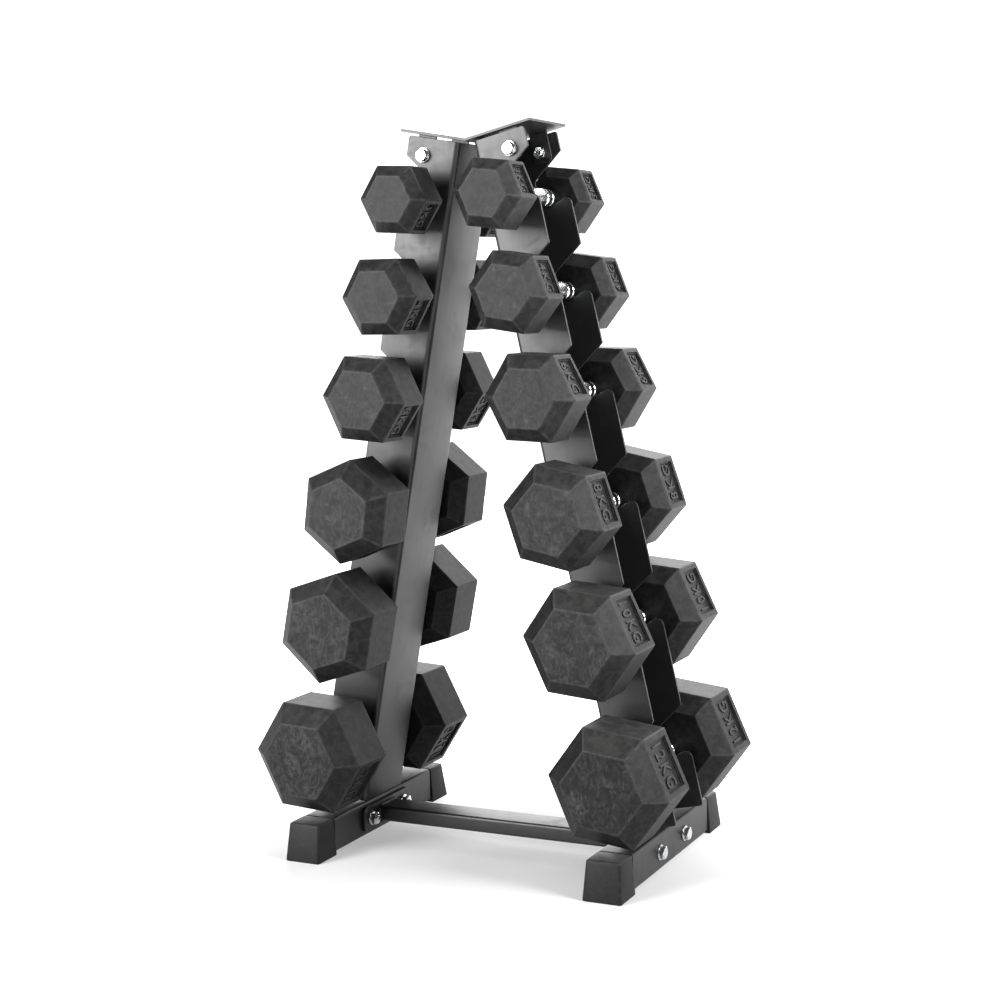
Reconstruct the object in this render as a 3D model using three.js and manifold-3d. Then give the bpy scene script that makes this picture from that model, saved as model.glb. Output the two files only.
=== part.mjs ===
// Dumbbell rack: two toothed channel uprights leaning together on a bolted base,
// loaded with six pairs of rubber hex dumbbells. Millimetres, +Z up, X across the
// rack, Y from front to back. The origin is on the floor under the rack's centre.
import * as THREE from 'three';
import { mergeVertices } from 'three/addons/utils/BufferGeometryUtils.js';
import Module from 'manifold-3d';

const wasm = await Module();
wasm.setup();

// ---- Driving dimensions ----

// Between faces of pieces that touch.
const CONTACT_GAP = 0.3;

// Base: two square tubes that run front to back, joined by a flat crossbar.
const BASE_WIDTH = 411;
const TUBE_SIZE = 40;
const TUBE_WALL = 2;
const TUBE_CORNER = 2.5;
const TUBE_LENGTH = 227;
const FOOT_LIFT = 3;

// Plastic foot caps on the tube ends.
const CAP_LENGTH = 31;
const CAP_FLARE_SIDE = 2.7;
const CAP_FLARE_END = 7.5;
const CAP_PLUG_LENGTH = 20;
const CAP_PLUG_CHAMFER = 2;

const CROSSBAR_WIDTH = 38;
const CROSSBAR_HEIGHT = 18;
const CROSSBAR_WALL = 2;
const CROSSBAR_CORNER = 3;
const END_PLATE_LENGTH = 106;
const END_PLATE_HEIGHT = 30;
const END_PLATE_THICKNESS = 4;
const END_PLATE_CORNER = 7;

// Uprights: folded steel channels, web towards the centre, flanges outwards.
const POST_LENGTH = 775;
const POST_TOP_SPACING = 17.5;
const WEB_WIDTH = 86;
const FLANGE_DEPTH = 63.5;
const SHEET = 3;
const BEND_RADIUS = 5.5;
const FLANGE_END_RADIUS = 3;

// Seats cut into both flanges, measured from the upright's foot along its length.
const SEAT_OFFSET = 35.3;
const SEAT_CLEARANCE = 0.4;
const LIP_RADIUS = 8;
const LIP_RISE = 6.7;
const ROOF_RISE = 22.5;
const ROOF_ANGLE = 33;
const ROOF_FILLET = 6;

// Top bracket: a shallow V of plate with four tabs inside the flanges.
const BRACKET_THICKNESS = 3;
const BRACKET_GAP = 2.5;
const BRACKET_OVERHANG_END = 10;
const BRACKET_OVERHANG_SIDE = 3;
const TAB_WIDTH = 22;
const TAB_LENGTH = 31;

// Fasteners.
const BOLT_DIAMETER = 7.6;
const BOLT_HEAD_FLATS = 13;
const BOLT_HEAD_HEIGHT = 5.3;
const NUT_HEIGHT = 6.5;
const WASHER_DIAMETER = 17;
const WASHER_THICKNESS = 1.6;
const BOLT_HOLE_CLEARANCE = 0.8;
const BOLT_END = 2;
const BASE_BOLT_SPACING = 74;
const TOP_BOLT_OFFSET = 42;
const TOP_BOLT_DROP = 19.5;

// Dumbbells: round steel handles with six-sided heads bevelled at both ends.
const HANDLE_DIAMETER = 21;
const SPIGOT_DIAMETER = 17;
const SPIGOT_LENGTH = 24;
const HEAD_CLEARANCE = 28.3;
const BEVEL_FACE_SHARE = 0.68;
const OUTER_BEVEL_SHARE = 0.17;
const INNER_BEVEL_SHARE = 0.14;
const LABEL_DEPTH = 3.2;
const LABEL_LENGTH_SHARE = 0.74;
const LABEL_WIDTH_SHARE = 0.8;

// One row for each tier, from the top down: the seat's height along the upright,
// the head's size across its flats, the length of its straight part, and the way
// that the label's face is turned on each side, in degrees above level.
const TIERS = [
  { seat: 705, flats: 72, straight: 36, labelRight: 22, labelLeft: -34 },
  { seat: 598.5, flats: 82.5, straight: 38, labelRight: 20.5, labelLeft: -31 },
  { seat: 484.5, flats: 92, straight: 42, labelRight: 27, labelLeft: -35 },
  { seat: 356.5, flats: 103.5, straight: 48.5, labelRight: 18, labelLeft: -69 },
  { seat: 221, flats: 113, straight: 53, labelRight: 24.5, labelLeft: -72.5 },
  { seat: 68, flats: 120.5, straight: 57.5, labelRight: 23, labelLeft: -33.5 },
];

// ---- Derived sizes ----

const TUBE_INSIDE_X = BASE_WIDTH / 2 - TUBE_SIZE;
const TUBE_CENTRE_X = BASE_WIDTH / 2 - TUBE_SIZE / 2;
const TUBE_CENTRE_Z = FOOT_LIFT + TUBE_SIZE / 2;
const TUBE_TOP_Z = FOOT_LIFT + TUBE_SIZE;
const POST_LEAN = Math.asin((TUBE_INSIDE_X - POST_TOP_SPACING / 2) / POST_LENGTH);
const SEAT_RADIUS = HANDLE_DIAMETER / 2 + SEAT_CLEARANCE;
const BOLT_HOLE_RADIUS = (BOLT_DIAMETER + BOLT_HOLE_CLEARANCE) / 2;
const GRIP_HALF = WEB_WIDTH / 2 + HEAD_CLEARANCE;
const ARC_STEPS = 3;
const CORNER_STEPS = 1;
const BEND_STEPS = 2;
const BOLT_SIDES = 12;
const WASHER_SIDES = 16;
const HANDLE_SIDES = 16;
const EDGE_MARGIN = 1;

// ---- Materials ----

const paint = (color, roughness, metalness) => () =>
  new THREE.MeshStandardMaterial({ color, roughness, metalness });
const BLACK_STEEL = paint(0x1b1c1d, 0.42, 0.6);
const BLACK_PLASTIC = paint(0x202122, 0.55, 0);
const CHROME = paint(0xcfd2d4, 0.14, 1);
const RUBBER = paint(0x3a3b3c, 0.8, 0);

// ---- Solids ----

/** Turns a closed three.js geometry into a manifold solid that faces outwards. */
function toSolid(geometry) {
  const plain = geometry.index ? geometry.toNonIndexed() : geometry.clone();
  plain.deleteAttribute('normal');
  plain.deleteAttribute('uv');
  const merged = mergeVertices(plain, 1e-4);
  const vertProperties = new Float32Array(merged.attributes.position.array);
  const corners = [];
  const index = merged.index.array;
  for (let i = 0; i < index.length; i += 3) {
    const [a, b, c] = [index[i], index[i + 1], index[i + 2]];
    if (a !== b && b !== c && c !== a) corners.push(a, b, c);
  }
  const outward = signedVolume(vertProperties, corners) > 0;
  const triVerts = new Uint32Array(outward ? corners : corners.reverse());
  return new wasm.Manifold(new wasm.Mesh({ numProp: 3, vertProperties, triVerts }));
}

/** Six times the volume that a triangle list encloses, positive if it faces out. */
function signedVolume(points, corners) {
  const [a, b, c] = [new THREE.Vector3(), new THREE.Vector3(), new THREE.Vector3()];
  let sum = 0;
  for (let i = 0; i < corners.length; i += 3) {
    a.fromArray(points, 3 * corners[i]);
    b.fromArray(points, 3 * corners[i + 1]);
    c.fromArray(points, 3 * corners[i + 2]);
    sum += a.dot(b.cross(c));
  }
  return sum;
}

/** Gives a manifold solid back as a three.js geometry. */
function toGeometry(solid) {
  const { vertProperties, triVerts } = solid.getMesh();
  const geometry = new THREE.BufferGeometry();
  geometry.setAttribute('position', new THREE.BufferAttribute(vertProperties, 3));
  geometry.setIndex(new THREE.BufferAttribute(triVerts, 1));
  const faceted = geometry.toNonIndexed();
  faceted.computeVertexNormals();
  return faceted;
}

/** A named mesh of a solid with its own material. */
function piece(name, solid, material) {
  const mesh = new THREE.Mesh(toGeometry(solid), material());
  mesh.name = name;
  return mesh;
}

/** A box between two corners. */
function boxSolid([x0, y0, z0], [x1, y1, z1]) {
  const box = new THREE.BoxGeometry(x1 - x0, y1 - y0, z1 - z0);
  box.translate((x0 + x1) / 2, (y0 + y1) / 2, (z0 + z1) / 2);
  return toSolid(box);
}

/** A round bar along 'x' or 'y' between two places on that axis. */
function barSolid(axis, from, to, radius, sides = BOLT_SIDES) {
  const bar = new THREE.CylinderGeometry(radius, radius, to - from, sides);
  bar.translate(0, (from + to) / 2, 0);
  if (axis === 'x') bar.rotateZ(-Math.PI / 2);
  return toSolid(bar);
}

/** A shape drawn in X and Z, extruded along Y between two places. */
function extrudeAlongY(shape, from, to, curveSegments = ARC_STEPS) {
  const body = new THREE.ExtrudeGeometry(shape, {
    depth: to - from, bevelEnabled: false, curveSegments,
  });
  body.rotateX(Math.PI / 2);
  body.translate(0, to, 0);
  return toSolid(body);
}

/** A shape drawn in X and Y, extruded along Z between two places. */
function extrudeAlongZ(shape, from, to, curveSegments = ARC_STEPS) {
  const body = new THREE.ExtrudeGeometry(shape, {
    depth: to - from, bevelEnabled: false, curveSegments,
  });
  body.translate(0, 0, from);
  return toSolid(body);
}

/** A rectangle about the origin with rounded corners. */
function roundedRectangle(width, height, radius) {
  const [x, y] = [width / 2, height / 2];
  const shape = new THREE.Shape();
  shape.moveTo(-x + radius, -y);
  shape.lineTo(x - radius, -y);
  shape.absarc(x - radius, -y + radius, radius, -Math.PI / 2, 0);
  shape.lineTo(x, y - radius);
  shape.absarc(x - radius, y - radius, radius, 0, Math.PI / 2);
  shape.lineTo(-x + radius, y);
  shape.absarc(-x + radius, y - radius, radius, Math.PI / 2, Math.PI);
  shape.lineTo(-x, -y + radius);
  shape.absarc(-x + radius, -y + radius, radius, Math.PI, 1.5 * Math.PI);
  return shape;
}

/** A rounded rectangle with the same outline, one wall smaller, as its hole. */
function tubeShape(width, height, radius, wall) {
  const shape = roundedRectangle(width, height, radius);
  const bore = roundedRectangle(width - 2 * wall, height - 2 * wall, radius - wall);
  shape.holes.push(bore);
  return shape;
}

// ---- Base ----

/** One base tube along Y with its two cross holes, centred on the origin. */
function baseTube() {
  const shape = tubeShape(TUBE_SIZE, TUBE_SIZE, TUBE_CORNER, TUBE_WALL);
  const half = TUBE_LENGTH / 2;
  let tube = extrudeAlongY(shape, -half, half, CORNER_STEPS);
  const reach = TUBE_SIZE / 2 + EDGE_MARGIN;
  for (const y of [-BASE_BOLT_SPACING / 2, BASE_BOLT_SPACING / 2]) {
    const hole = barSolid('x', -reach, reach, BOLT_HOLE_RADIUS).translate([0, y, 0]);
    tube = tube.subtract(hole);
  }
  return tube;
}

/** The foot cap at a tube's +Y end: a flared block with a plug for the tube. */
function footCap() {
  const seam = TUBE_LENGTH / 2 + CONTACT_GAP;
  const top = TUBE_SIZE / 2;
  const bottom = -TUBE_CENTRE_Z;
  const block = new THREE.BoxGeometry(TUBE_SIZE, CAP_LENGTH, top - bottom);
  block.translate(0, seam + CAP_LENGTH / 2, (top + bottom) / 2);
  const at = block.attributes.position;
  for (let i = 0; i < at.count; i += 1) {
    const low = at.getZ(i) < 0;
    const far = at.getY(i) > seam + CAP_LENGTH / 2;
    if (low) at.setX(i, at.getX(i) + Math.sign(at.getX(i)) * CAP_FLARE_SIDE);
    if (low && far) at.setY(i, at.getY(i) + CAP_FLARE_END);
  }
  return toSolid(block).add(capPlug(seam));
}

/** The square plug that holds a foot cap in its tube, chamfered at its tip. */
function capPlug(seam) {
  const half = TUBE_SIZE / 2 - TUBE_WALL - CONTACT_GAP;
  const tip = half - CAP_PLUG_CHAMFER;
  const radiusOf = (side) => side * Math.SQRT2;
  const start = seam - CAP_PLUG_LENGTH;
  const profile = [
    [0, start], [radiusOf(tip), start], [radiusOf(half), start + CAP_PLUG_CHAMFER],
    [radiusOf(half), seam + EDGE_MARGIN], [0, seam + EDGE_MARGIN],
  ].map(([r, y]) => new THREE.Vector2(r, y));
  const plug = new THREE.LatheGeometry(profile, 4);
  plug.rotateY(Math.PI / 4);
  return toSolid(plug);
}

/** The crossbar between the two end plates, along X, centred on the origin. */
function crossbar() {
  const half = crossbarHalf();
  const shape = tubeShape(CROSSBAR_HEIGHT, CROSSBAR_WIDTH, CROSSBAR_CORNER, CROSSBAR_WALL);
  return extrudeAlongZ(shape, -half, half, CORNER_STEPS).rotate([0, 90, 0]);
}

/** Half the crossbar's length: it ends at the inside of the end plates. */
function crossbarHalf() {
  return TUBE_INSIDE_X - END_PLATE_THICKNESS - 2 * CONTACT_GAP;
}

/** The right end plate of the crossbar, bolted to the tube's inside face. */
function endPlate() {
  const shape = roundedRectangle(END_PLATE_HEIGHT, END_PLATE_LENGTH, END_PLATE_CORNER);
  const inside = TUBE_INSIDE_X - CONTACT_GAP - END_PLATE_THICKNESS;
  let plate = extrudeAlongZ(shape, 0, END_PLATE_THICKNESS).rotate([0, 90, 0]);
  for (const y of [-BASE_BOLT_SPACING / 2, BASE_BOLT_SPACING / 2]) {
    const hole = barSolid('x', -EDGE_MARGIN, END_PLATE_THICKNESS + EDGE_MARGIN, BOLT_HOLE_RADIUS);
    plate = plate.subtract(hole.translate([0, y, 0]));
  }
  return plate.translate([inside, 0, 0]);
}

// ---- Fasteners ----

/** A hexagon bar along Y between two places. */
function hexagonSolid(flats, from, to) {
  return barSolid('y', from, to, flats / Math.sqrt(3), 6);
}

/**
 * A hexagon bolt along Y with its washer under the head. The washer's seat is at
 * zero, the head stands on the -Y side and the shank runs to +Y.
 */
function boltSolid(shankLength) {
  const washer = barSolid('y', -WASHER_THICKNESS, 0, WASHER_DIAMETER / 2, WASHER_SIDES);
  const headTop = -WASHER_THICKNESS - BOLT_HEAD_HEIGHT;
  const head = hexagonSolid(BOLT_HEAD_FLATS, headTop, -WASHER_THICKNESS / 2);
  const shank = barSolid('y', -WASHER_THICKNESS / 2, shankLength, BOLT_DIAMETER / 2);
  return washer.add(head).add(shank);
}

/** A hexagon nut along Y, from zero to its height, open around the shank. */
function nutSolid() {
  const bore = barSolid('y', -EDGE_MARGIN, NUT_HEIGHT + EDGE_MARGIN, BOLT_HOLE_RADIUS);
  return hexagonSolid(BOLT_HEAD_FLATS, 0, NUT_HEIGHT).subtract(bore);
}

/** A base bolt with its washer and nut run up tight at the far end of the grip. */
function baseBoltSolid() {
  const grip = TUBE_SIZE + END_PLATE_THICKNESS + 3 * CONTACT_GAP;
  const washerEnd = grip + WASHER_THICKNESS;
  const washer = barSolid('y', grip, washerEnd, WASHER_DIAMETER / 2, WASHER_SIDES);
  const nut = hexagonSolid(BOLT_HEAD_FLATS, grip + WASHER_THICKNESS / 2, washerEnd + NUT_HEIGHT);
  return boltSolid(washerEnd + NUT_HEIGHT + BOLT_END).add(washer).add(nut);
}

// ---- Uprights ----

/** The channel's section: web at X = 0, flanges out to FLANGE_DEPTH. */
function channelShape() {
  const half = WEB_WIDTH / 2;
  const reach = FLANGE_DEPTH + EDGE_MARGIN;
  const inner = BEND_RADIUS - SHEET;
  const shape = new THREE.Shape();
  shape.moveTo(reach, -half);
  shape.lineTo(reach, -half + SHEET);
  shape.lineTo(BEND_RADIUS, -half + SHEET);
  shape.absarc(BEND_RADIUS, -half + BEND_RADIUS, inner, -Math.PI / 2, -Math.PI, true);
  shape.lineTo(SHEET, half - BEND_RADIUS);
  shape.absarc(BEND_RADIUS, half - BEND_RADIUS, inner, Math.PI, Math.PI / 2, true);
  shape.lineTo(reach, half - SHEET);
  shape.lineTo(reach, half);
  shape.lineTo(BEND_RADIUS, half);
  shape.absarc(BEND_RADIUS, half - BEND_RADIUS, BEND_RADIUS, Math.PI / 2, Math.PI);
  shape.lineTo(0, -half + BEND_RADIUS);
  shape.absarc(BEND_RADIUS, -half + BEND_RADIUS, BEND_RADIUS, Math.PI, 1.5 * Math.PI);
  return shape;
}

/** Slope of the ramp from the seat up to the lip, touching both round stretches. */
function rampAngle() {
  const across = FLANGE_DEPTH - LIP_RADIUS - SEAT_OFFSET;
  const down = lipDrop();
  const both = SEAT_RADIUS + LIP_RADIUS;
  return Math.asin(both / Math.hypot(across, down)) - Math.atan2(down, across);
}

/** How far the lip's centre lies below the seat's centre. */
function lipDrop() {
  return SEAT_RADIUS - LIP_RISE + LIP_RADIUS;
}

/** Draws one seat, going up the flange: lip, ramp, round seat, back wall and roof. */
function drawSeat(shape, seat) {
  const ramp = rampAngle();
  const lipX = FLANGE_DEPTH - LIP_RADIUS;
  const roof = THREE.MathUtils.degToRad(ROOF_ANGLE);
  const wall = SEAT_OFFSET - SEAT_RADIUS;
  const fillet = ROOF_FILLET * Math.tan((Math.PI / 2 - roof) / 2);
  const filletY = seat + ROOF_RISE - fillet;
  shape.absarc(lipX, seat - lipDrop(), LIP_RADIUS, 0, Math.PI / 2 + ramp);
  shape.absarc(SEAT_OFFSET, seat, SEAT_RADIUS, ramp - Math.PI / 2, -Math.PI, true);
  shape.absarc(wall + ROOF_FILLET, filletY, ROOF_FILLET, Math.PI, Math.PI / 2 + roof, true);
  shape.lineTo(FLANGE_DEPTH, seat + ROOF_RISE + (FLANGE_DEPTH - wall) * Math.tan(roof));
}

/** The upright's outline from the side, drawn across its depth and its length. */
function flangeOutline() {
  const r = FLANGE_END_RADIUS;
  const shape = new THREE.Shape();
  shape.moveTo(-EDGE_MARGIN, CONTACT_GAP);
  shape.lineTo(FLANGE_DEPTH - r, CONTACT_GAP);
  shape.absarc(FLANGE_DEPTH - r, CONTACT_GAP + r, r, -Math.PI / 2, 0);
  for (const tier of TIERS.toReversed()) drawSeat(shape, tier.seat);
  shape.absarc(FLANGE_DEPTH - r, POST_LENGTH - r, r, 0, Math.PI / 2);
  shape.lineTo(-EDGE_MARGIN, POST_LENGTH);
  return shape;
}

/** One upright standing along Z, with its seats and the holes for the top bolts. */
function upright() {
  const half = WEB_WIDTH / 2 + EDGE_MARGIN;
  const channel = extrudeAlongZ(channelShape(), 0, POST_LENGTH, BEND_STEPS);
  const outline = extrudeAlongY(flangeOutline(), -half, half);
  const hole = barSolid('y', -half, half, BOLT_HOLE_RADIUS)
    .translate([TOP_BOLT_OFFSET, 0, POST_LENGTH - TOP_BOLT_DROP]);
  return channel.intersect(outline).subtract(hole);
}

// ---- Top bracket ----

/** Inside face of the bracket's tabs, measured from the rack's middle plane. */
function tabInside() {
  return WEB_WIDTH / 2 - SHEET - CONTACT_GAP - BRACKET_THICKNESS;
}

/** A place on the right upright, from its depth and length, in the rack's frame. */
function onPost(depth, length) {
  const x = TUBE_INSIDE_X + depth * Math.cos(POST_LEAN) - length * Math.sin(POST_LEAN);
  const z = TUBE_TOP_Z + depth * Math.sin(POST_LEAN) + length * Math.cos(POST_LEAN);
  return new THREE.Vector3(x, 0, z);
}

/** The V-shaped plate across both uprights, drawn from the front. */
function bracketPlate() {
  const under = POST_LENGTH + BRACKET_GAP;
  const end = FLANGE_DEPTH + BRACKET_OVERHANG_END;
  const low = onPost(end, under);
  const high = onPost(end, under + BRACKET_THICKNESS);
  const middle = (at) => at.z - at.x * Math.tan(POST_LEAN);
  const shape = new THREE.Shape();
  shape.moveTo(0, middle(low));
  shape.lineTo(low.x, low.z);
  shape.lineTo(high.x, high.z);
  shape.lineTo(0, middle(high));
  shape.lineTo(-high.x, high.z);
  shape.lineTo(-low.x, low.z);
  const half = WEB_WIDTH / 2 + BRACKET_OVERHANG_SIDE;
  return extrudeAlongY(shape, -half, half);
}

/** The two tabs of one half of the bracket, in the upright's own frame. */
function bracketTabs() {
  const top = POST_LENGTH + BRACKET_GAP + BRACKET_THICKNESS / 2;
  const [left, right] = [TOP_BOLT_OFFSET - TAB_WIDTH / 2, TOP_BOLT_OFFSET + TAB_WIDTH / 2];
  const inside = tabInside();
  const low = POST_LENGTH - TAB_LENGTH;
  const half = WEB_WIDTH / 2;
  const hole = barSolid('y', -half, half, BOLT_HOLE_RADIUS)
    .translate([TOP_BOLT_OFFSET, 0, POST_LENGTH - TOP_BOLT_DROP]);
  return boxSolid([left, inside, low], [right, inside + BRACKET_THICKNESS, top])
    .add(boxSolid([left, -inside - BRACKET_THICKNESS, low], [right, -inside, top]))
    .subtract(hole);
}

/** The whole top bracket, with the tabs of both halves joined to the plate. */
function topBracket() {
  const lean = -THREE.MathUtils.radToDeg(POST_LEAN);
  const foot = onPost(0, 0).toArray();
  const right = bracketTabs().rotate([0, lean, 0]).translate(foot);
  return bracketPlate().add(right).add(right.rotate([0, 0, 180]));
}

// ---- Dumbbells ----

/** One head at the +Y end of a dumbbell, its label face towards +X. */
function dumbbellHead({ flats, straight }) {
  const corner = flats / Math.sqrt(3);
  const start = GRIP_HALF - flats * INNER_BEVEL_SHARE;
  const end = GRIP_HALF + straight + flats * OUTER_BEVEL_SHARE;
  const profile = [
    [0, start], [corner * BEVEL_FACE_SHARE, start], [corner, GRIP_HALF],
    [corner, GRIP_HALF + straight], [corner * BEVEL_FACE_SHARE, end], [0, end],
  ].map(([r, y]) => new THREE.Vector2(r, y));
  const bore = barSolid('y', start - EDGE_MARGIN, start + SPIGOT_LENGTH + CONTACT_GAP,
    SPIGOT_DIAMETER / 2 + CONTACT_GAP);
  const middle = GRIP_HALF + straight / 2;
  const length = straight * LABEL_LENGTH_SHARE;
  const width = corner * LABEL_WIDTH_SHARE;
  const recess = boxSolid(
    [flats / 2 - LABEL_DEPTH, middle - length / 2, -width / 2],
    [flats / 2 + EDGE_MARGIN, middle + length / 2, width / 2],
  );
  return toSolid(new THREE.LatheGeometry(profile, 6)).subtract(bore).subtract(recess);
}

/** The handle along Y, thinner where it goes into the heads. */
function dumbbellHandle({ flats }) {
  const grip = GRIP_HALF - flats * INNER_BEVEL_SHARE - CONTACT_GAP;
  const end = grip + CONTACT_GAP + SPIGOT_LENGTH;
  const [thick, thin] = [HANDLE_DIAMETER / 2, SPIGOT_DIAMETER / 2];
  const profile = [
    [0, -end], [thin, -end], [thin, -grip], [thick, -grip],
    [thick, grip], [thin, grip], [thin, end], [0, end],
  ].map(([r, y]) => new THREE.Vector2(r, y));
  return toSolid(new THREE.LatheGeometry(profile, HANDLE_SIDES));
}

/** A whole dumbbell as a group of three pieces around its own middle. */
function dumbbell(name, tier) {
  const head = dumbbellHead(tier);
  const group = new THREE.Group();
  group.add(
    piece(`${name}_handle`, dumbbellHandle(tier), CHROME),
    piece(`${name}_back_head`, head, RUBBER),
    piece(`${name}_front_head`, head.mirror([0, 1, 0]), RUBBER),
  );
  return group;
}

// ---- Assembly ----

/** Everything on one side. The left side is the right one turned about Z. */
function buildSide(side, isLeft) {
  const group = new THREE.Group();
  const turn = isLeft ? Math.PI : 0;
  group.rotation.z = turn;
  group.add(buildBaseSide(side, isLeft), buildPost(side, isLeft));
  TIERS.forEach((tier, index) => {
    const loaded = dumbbell(`${side}_${index + 1}`, tier);
    const label = isLeft ? 180 - tier.labelLeft : tier.labelRight;
    loaded.position.copy(onPost(SEAT_OFFSET, tier.seat));
    loaded.rotation.y = -THREE.MathUtils.degToRad(label);
    loaded.scale.y = isLeft ? -1 : 1;
    group.add(loaded);
  });
  return group;
}

/** A tube with its two foot caps, the crossbar's end plate and two bolts. */
function buildBaseSide(side, isLeft) {
  const base = new THREE.Group();
  base.position.z = TUBE_CENTRE_Z;
  const onTube = new THREE.Group();
  onTube.position.x = TUBE_CENTRE_X;
  const cap = footCap();
  const [atPlusY, atMinusY] = isLeft ? ['front', 'back'] : ['back', 'front'];
  onTube.add(
    piece(`${side}_base_tube`, baseTube(), BLACK_STEEL),
    piece(`${side}_${atPlusY}_foot_cap`, cap, BLACK_PLASTIC),
    piece(`${side}_${atMinusY}_foot_cap`, cap.rotate([0, 0, 180]), BLACK_PLASTIC),
  );
  base.add(onTube, piece(`${side}_crossbar_plate`, endPlate(), BLACK_STEEL));
  for (const [place, sign] of [[atPlusY, 1], [atMinusY, -1]]) {
    const bolt = piece(`${side}_base_bolt_${place}`, baseBoltSolid(), CHROME);
    bolt.rotation.z = Math.PI / 2;
    bolt.position.set(BASE_WIDTH / 2 + CONTACT_GAP, sign * BASE_BOLT_SPACING / 2, 0);
    base.add(bolt);
  }
  return base;
}

/** An upright with the bolts and nuts that hold the top bracket's tabs. */
function buildPost(side, isLeft) {
  const post = new THREE.Group();
  post.position.copy(onPost(0, 0));
  post.rotation.y = -POST_LEAN;
  post.add(piece(`${side}_upright`, upright(), BLACK_STEEL));
  const boltZ = POST_LENGTH - TOP_BOLT_DROP;
  const seat = WEB_WIDTH / 2 + CONTACT_GAP;
  const nutFace = tabInside() - CONTACT_GAP;
  const shank = seat - nutFace + NUT_HEIGHT + BOLT_END;
  for (const sign of [-1, 1]) {
    const place = (sign < 0) === isLeft ? 'back' : 'front';
    const bolt = piece(`${side}_top_bolt_${place}`, boltSolid(shank), CHROME);
    const nut = piece(`${side}_top_nut_${place}`, nutSolid(), CHROME);
    bolt.position.set(TOP_BOLT_OFFSET, sign * seat, boltZ);
    nut.position.set(TOP_BOLT_OFFSET, sign * nutFace, boltZ);
    if (sign > 0) {
      bolt.rotation.x = Math.PI;
      nut.rotation.x = Math.PI;
    }
    post.add(bolt, nut);
  }
  return post;
}

/** The pieces that belong to both sides: the crossbar and the top bracket. */
function buildMiddle() {
  const middle = new THREE.Group();
  const bar = piece('crossbar', crossbar(), BLACK_STEEL);
  bar.position.z = TUBE_CENTRE_Z;
  middle.add(bar, piece('top_bracket', topBracket(), BLACK_STEEL));
  return middle;
}

const rack = new THREE.Group();
rack.add(buildMiddle(), buildSide('right', false), buildSide('left', true));

export default rack;
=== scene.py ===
"""The finished look of a loaded dumbbell rack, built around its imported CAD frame.

Two folded steel channels with hook-shaped seats lean together on a bolted base and
carry six pairs of rubber hex dumbbells. Sizes in the classes are in millimetres, and
meshes are in metres, in the frame's own axes: +Z up, X across the rack, Y to its back.
"""

import sys

import logging
import math
from collections.abc import Callable
from dataclasses import dataclass
from enum import Enum

import bmesh
import bpy
import numpy as np
from mathutils import Matrix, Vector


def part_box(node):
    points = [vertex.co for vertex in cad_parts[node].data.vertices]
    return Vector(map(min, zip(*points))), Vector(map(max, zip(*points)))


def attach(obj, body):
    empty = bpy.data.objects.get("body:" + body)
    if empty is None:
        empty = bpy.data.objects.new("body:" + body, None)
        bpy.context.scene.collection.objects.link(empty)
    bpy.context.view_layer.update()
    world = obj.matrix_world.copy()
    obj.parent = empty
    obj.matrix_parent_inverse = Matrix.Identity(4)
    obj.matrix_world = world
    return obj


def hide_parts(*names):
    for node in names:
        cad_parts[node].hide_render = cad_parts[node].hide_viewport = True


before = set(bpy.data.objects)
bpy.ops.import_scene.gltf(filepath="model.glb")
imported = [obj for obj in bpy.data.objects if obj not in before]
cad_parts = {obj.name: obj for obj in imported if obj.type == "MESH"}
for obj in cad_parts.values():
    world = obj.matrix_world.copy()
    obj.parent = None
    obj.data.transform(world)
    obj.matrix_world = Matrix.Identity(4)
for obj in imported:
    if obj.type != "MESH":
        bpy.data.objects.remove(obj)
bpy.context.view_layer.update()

MM = 0.001
SHARP_ANGLE = 35.0
SHARP_CORNER = 0.01
ARC_STEPS = 6
HEX_ARC_STEPS = 5
MERGE_DISTANCE = 1e-6
log = logging.getLogger("dumbbell_rack")

Piece = bpy.types.Object
Socket = bpy.types.NodeSocket
Sockets = bpy.types.bpy_prop_collection
Masks = dict[str, np.ndarray]
Colour = tuple[float, float, float, float]


class Named(Enum):
    """A choice whose name is part of the names of nodes."""

    @property
    def word(self) -> str:
        """The choice's name in lower case."""
        return self.name.lower()


class Side(Named):
    """The two halves of the rack. The value is the sign of the side's X and Y."""

    RIGHT = 1
    LEFT = -1


class End(Named):
    """The two ends of the rack along Y. The value is the sign of the end's Y."""

    FRONT = -1
    BACK = 1


# ---- Meshes from surfaces ----


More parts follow.
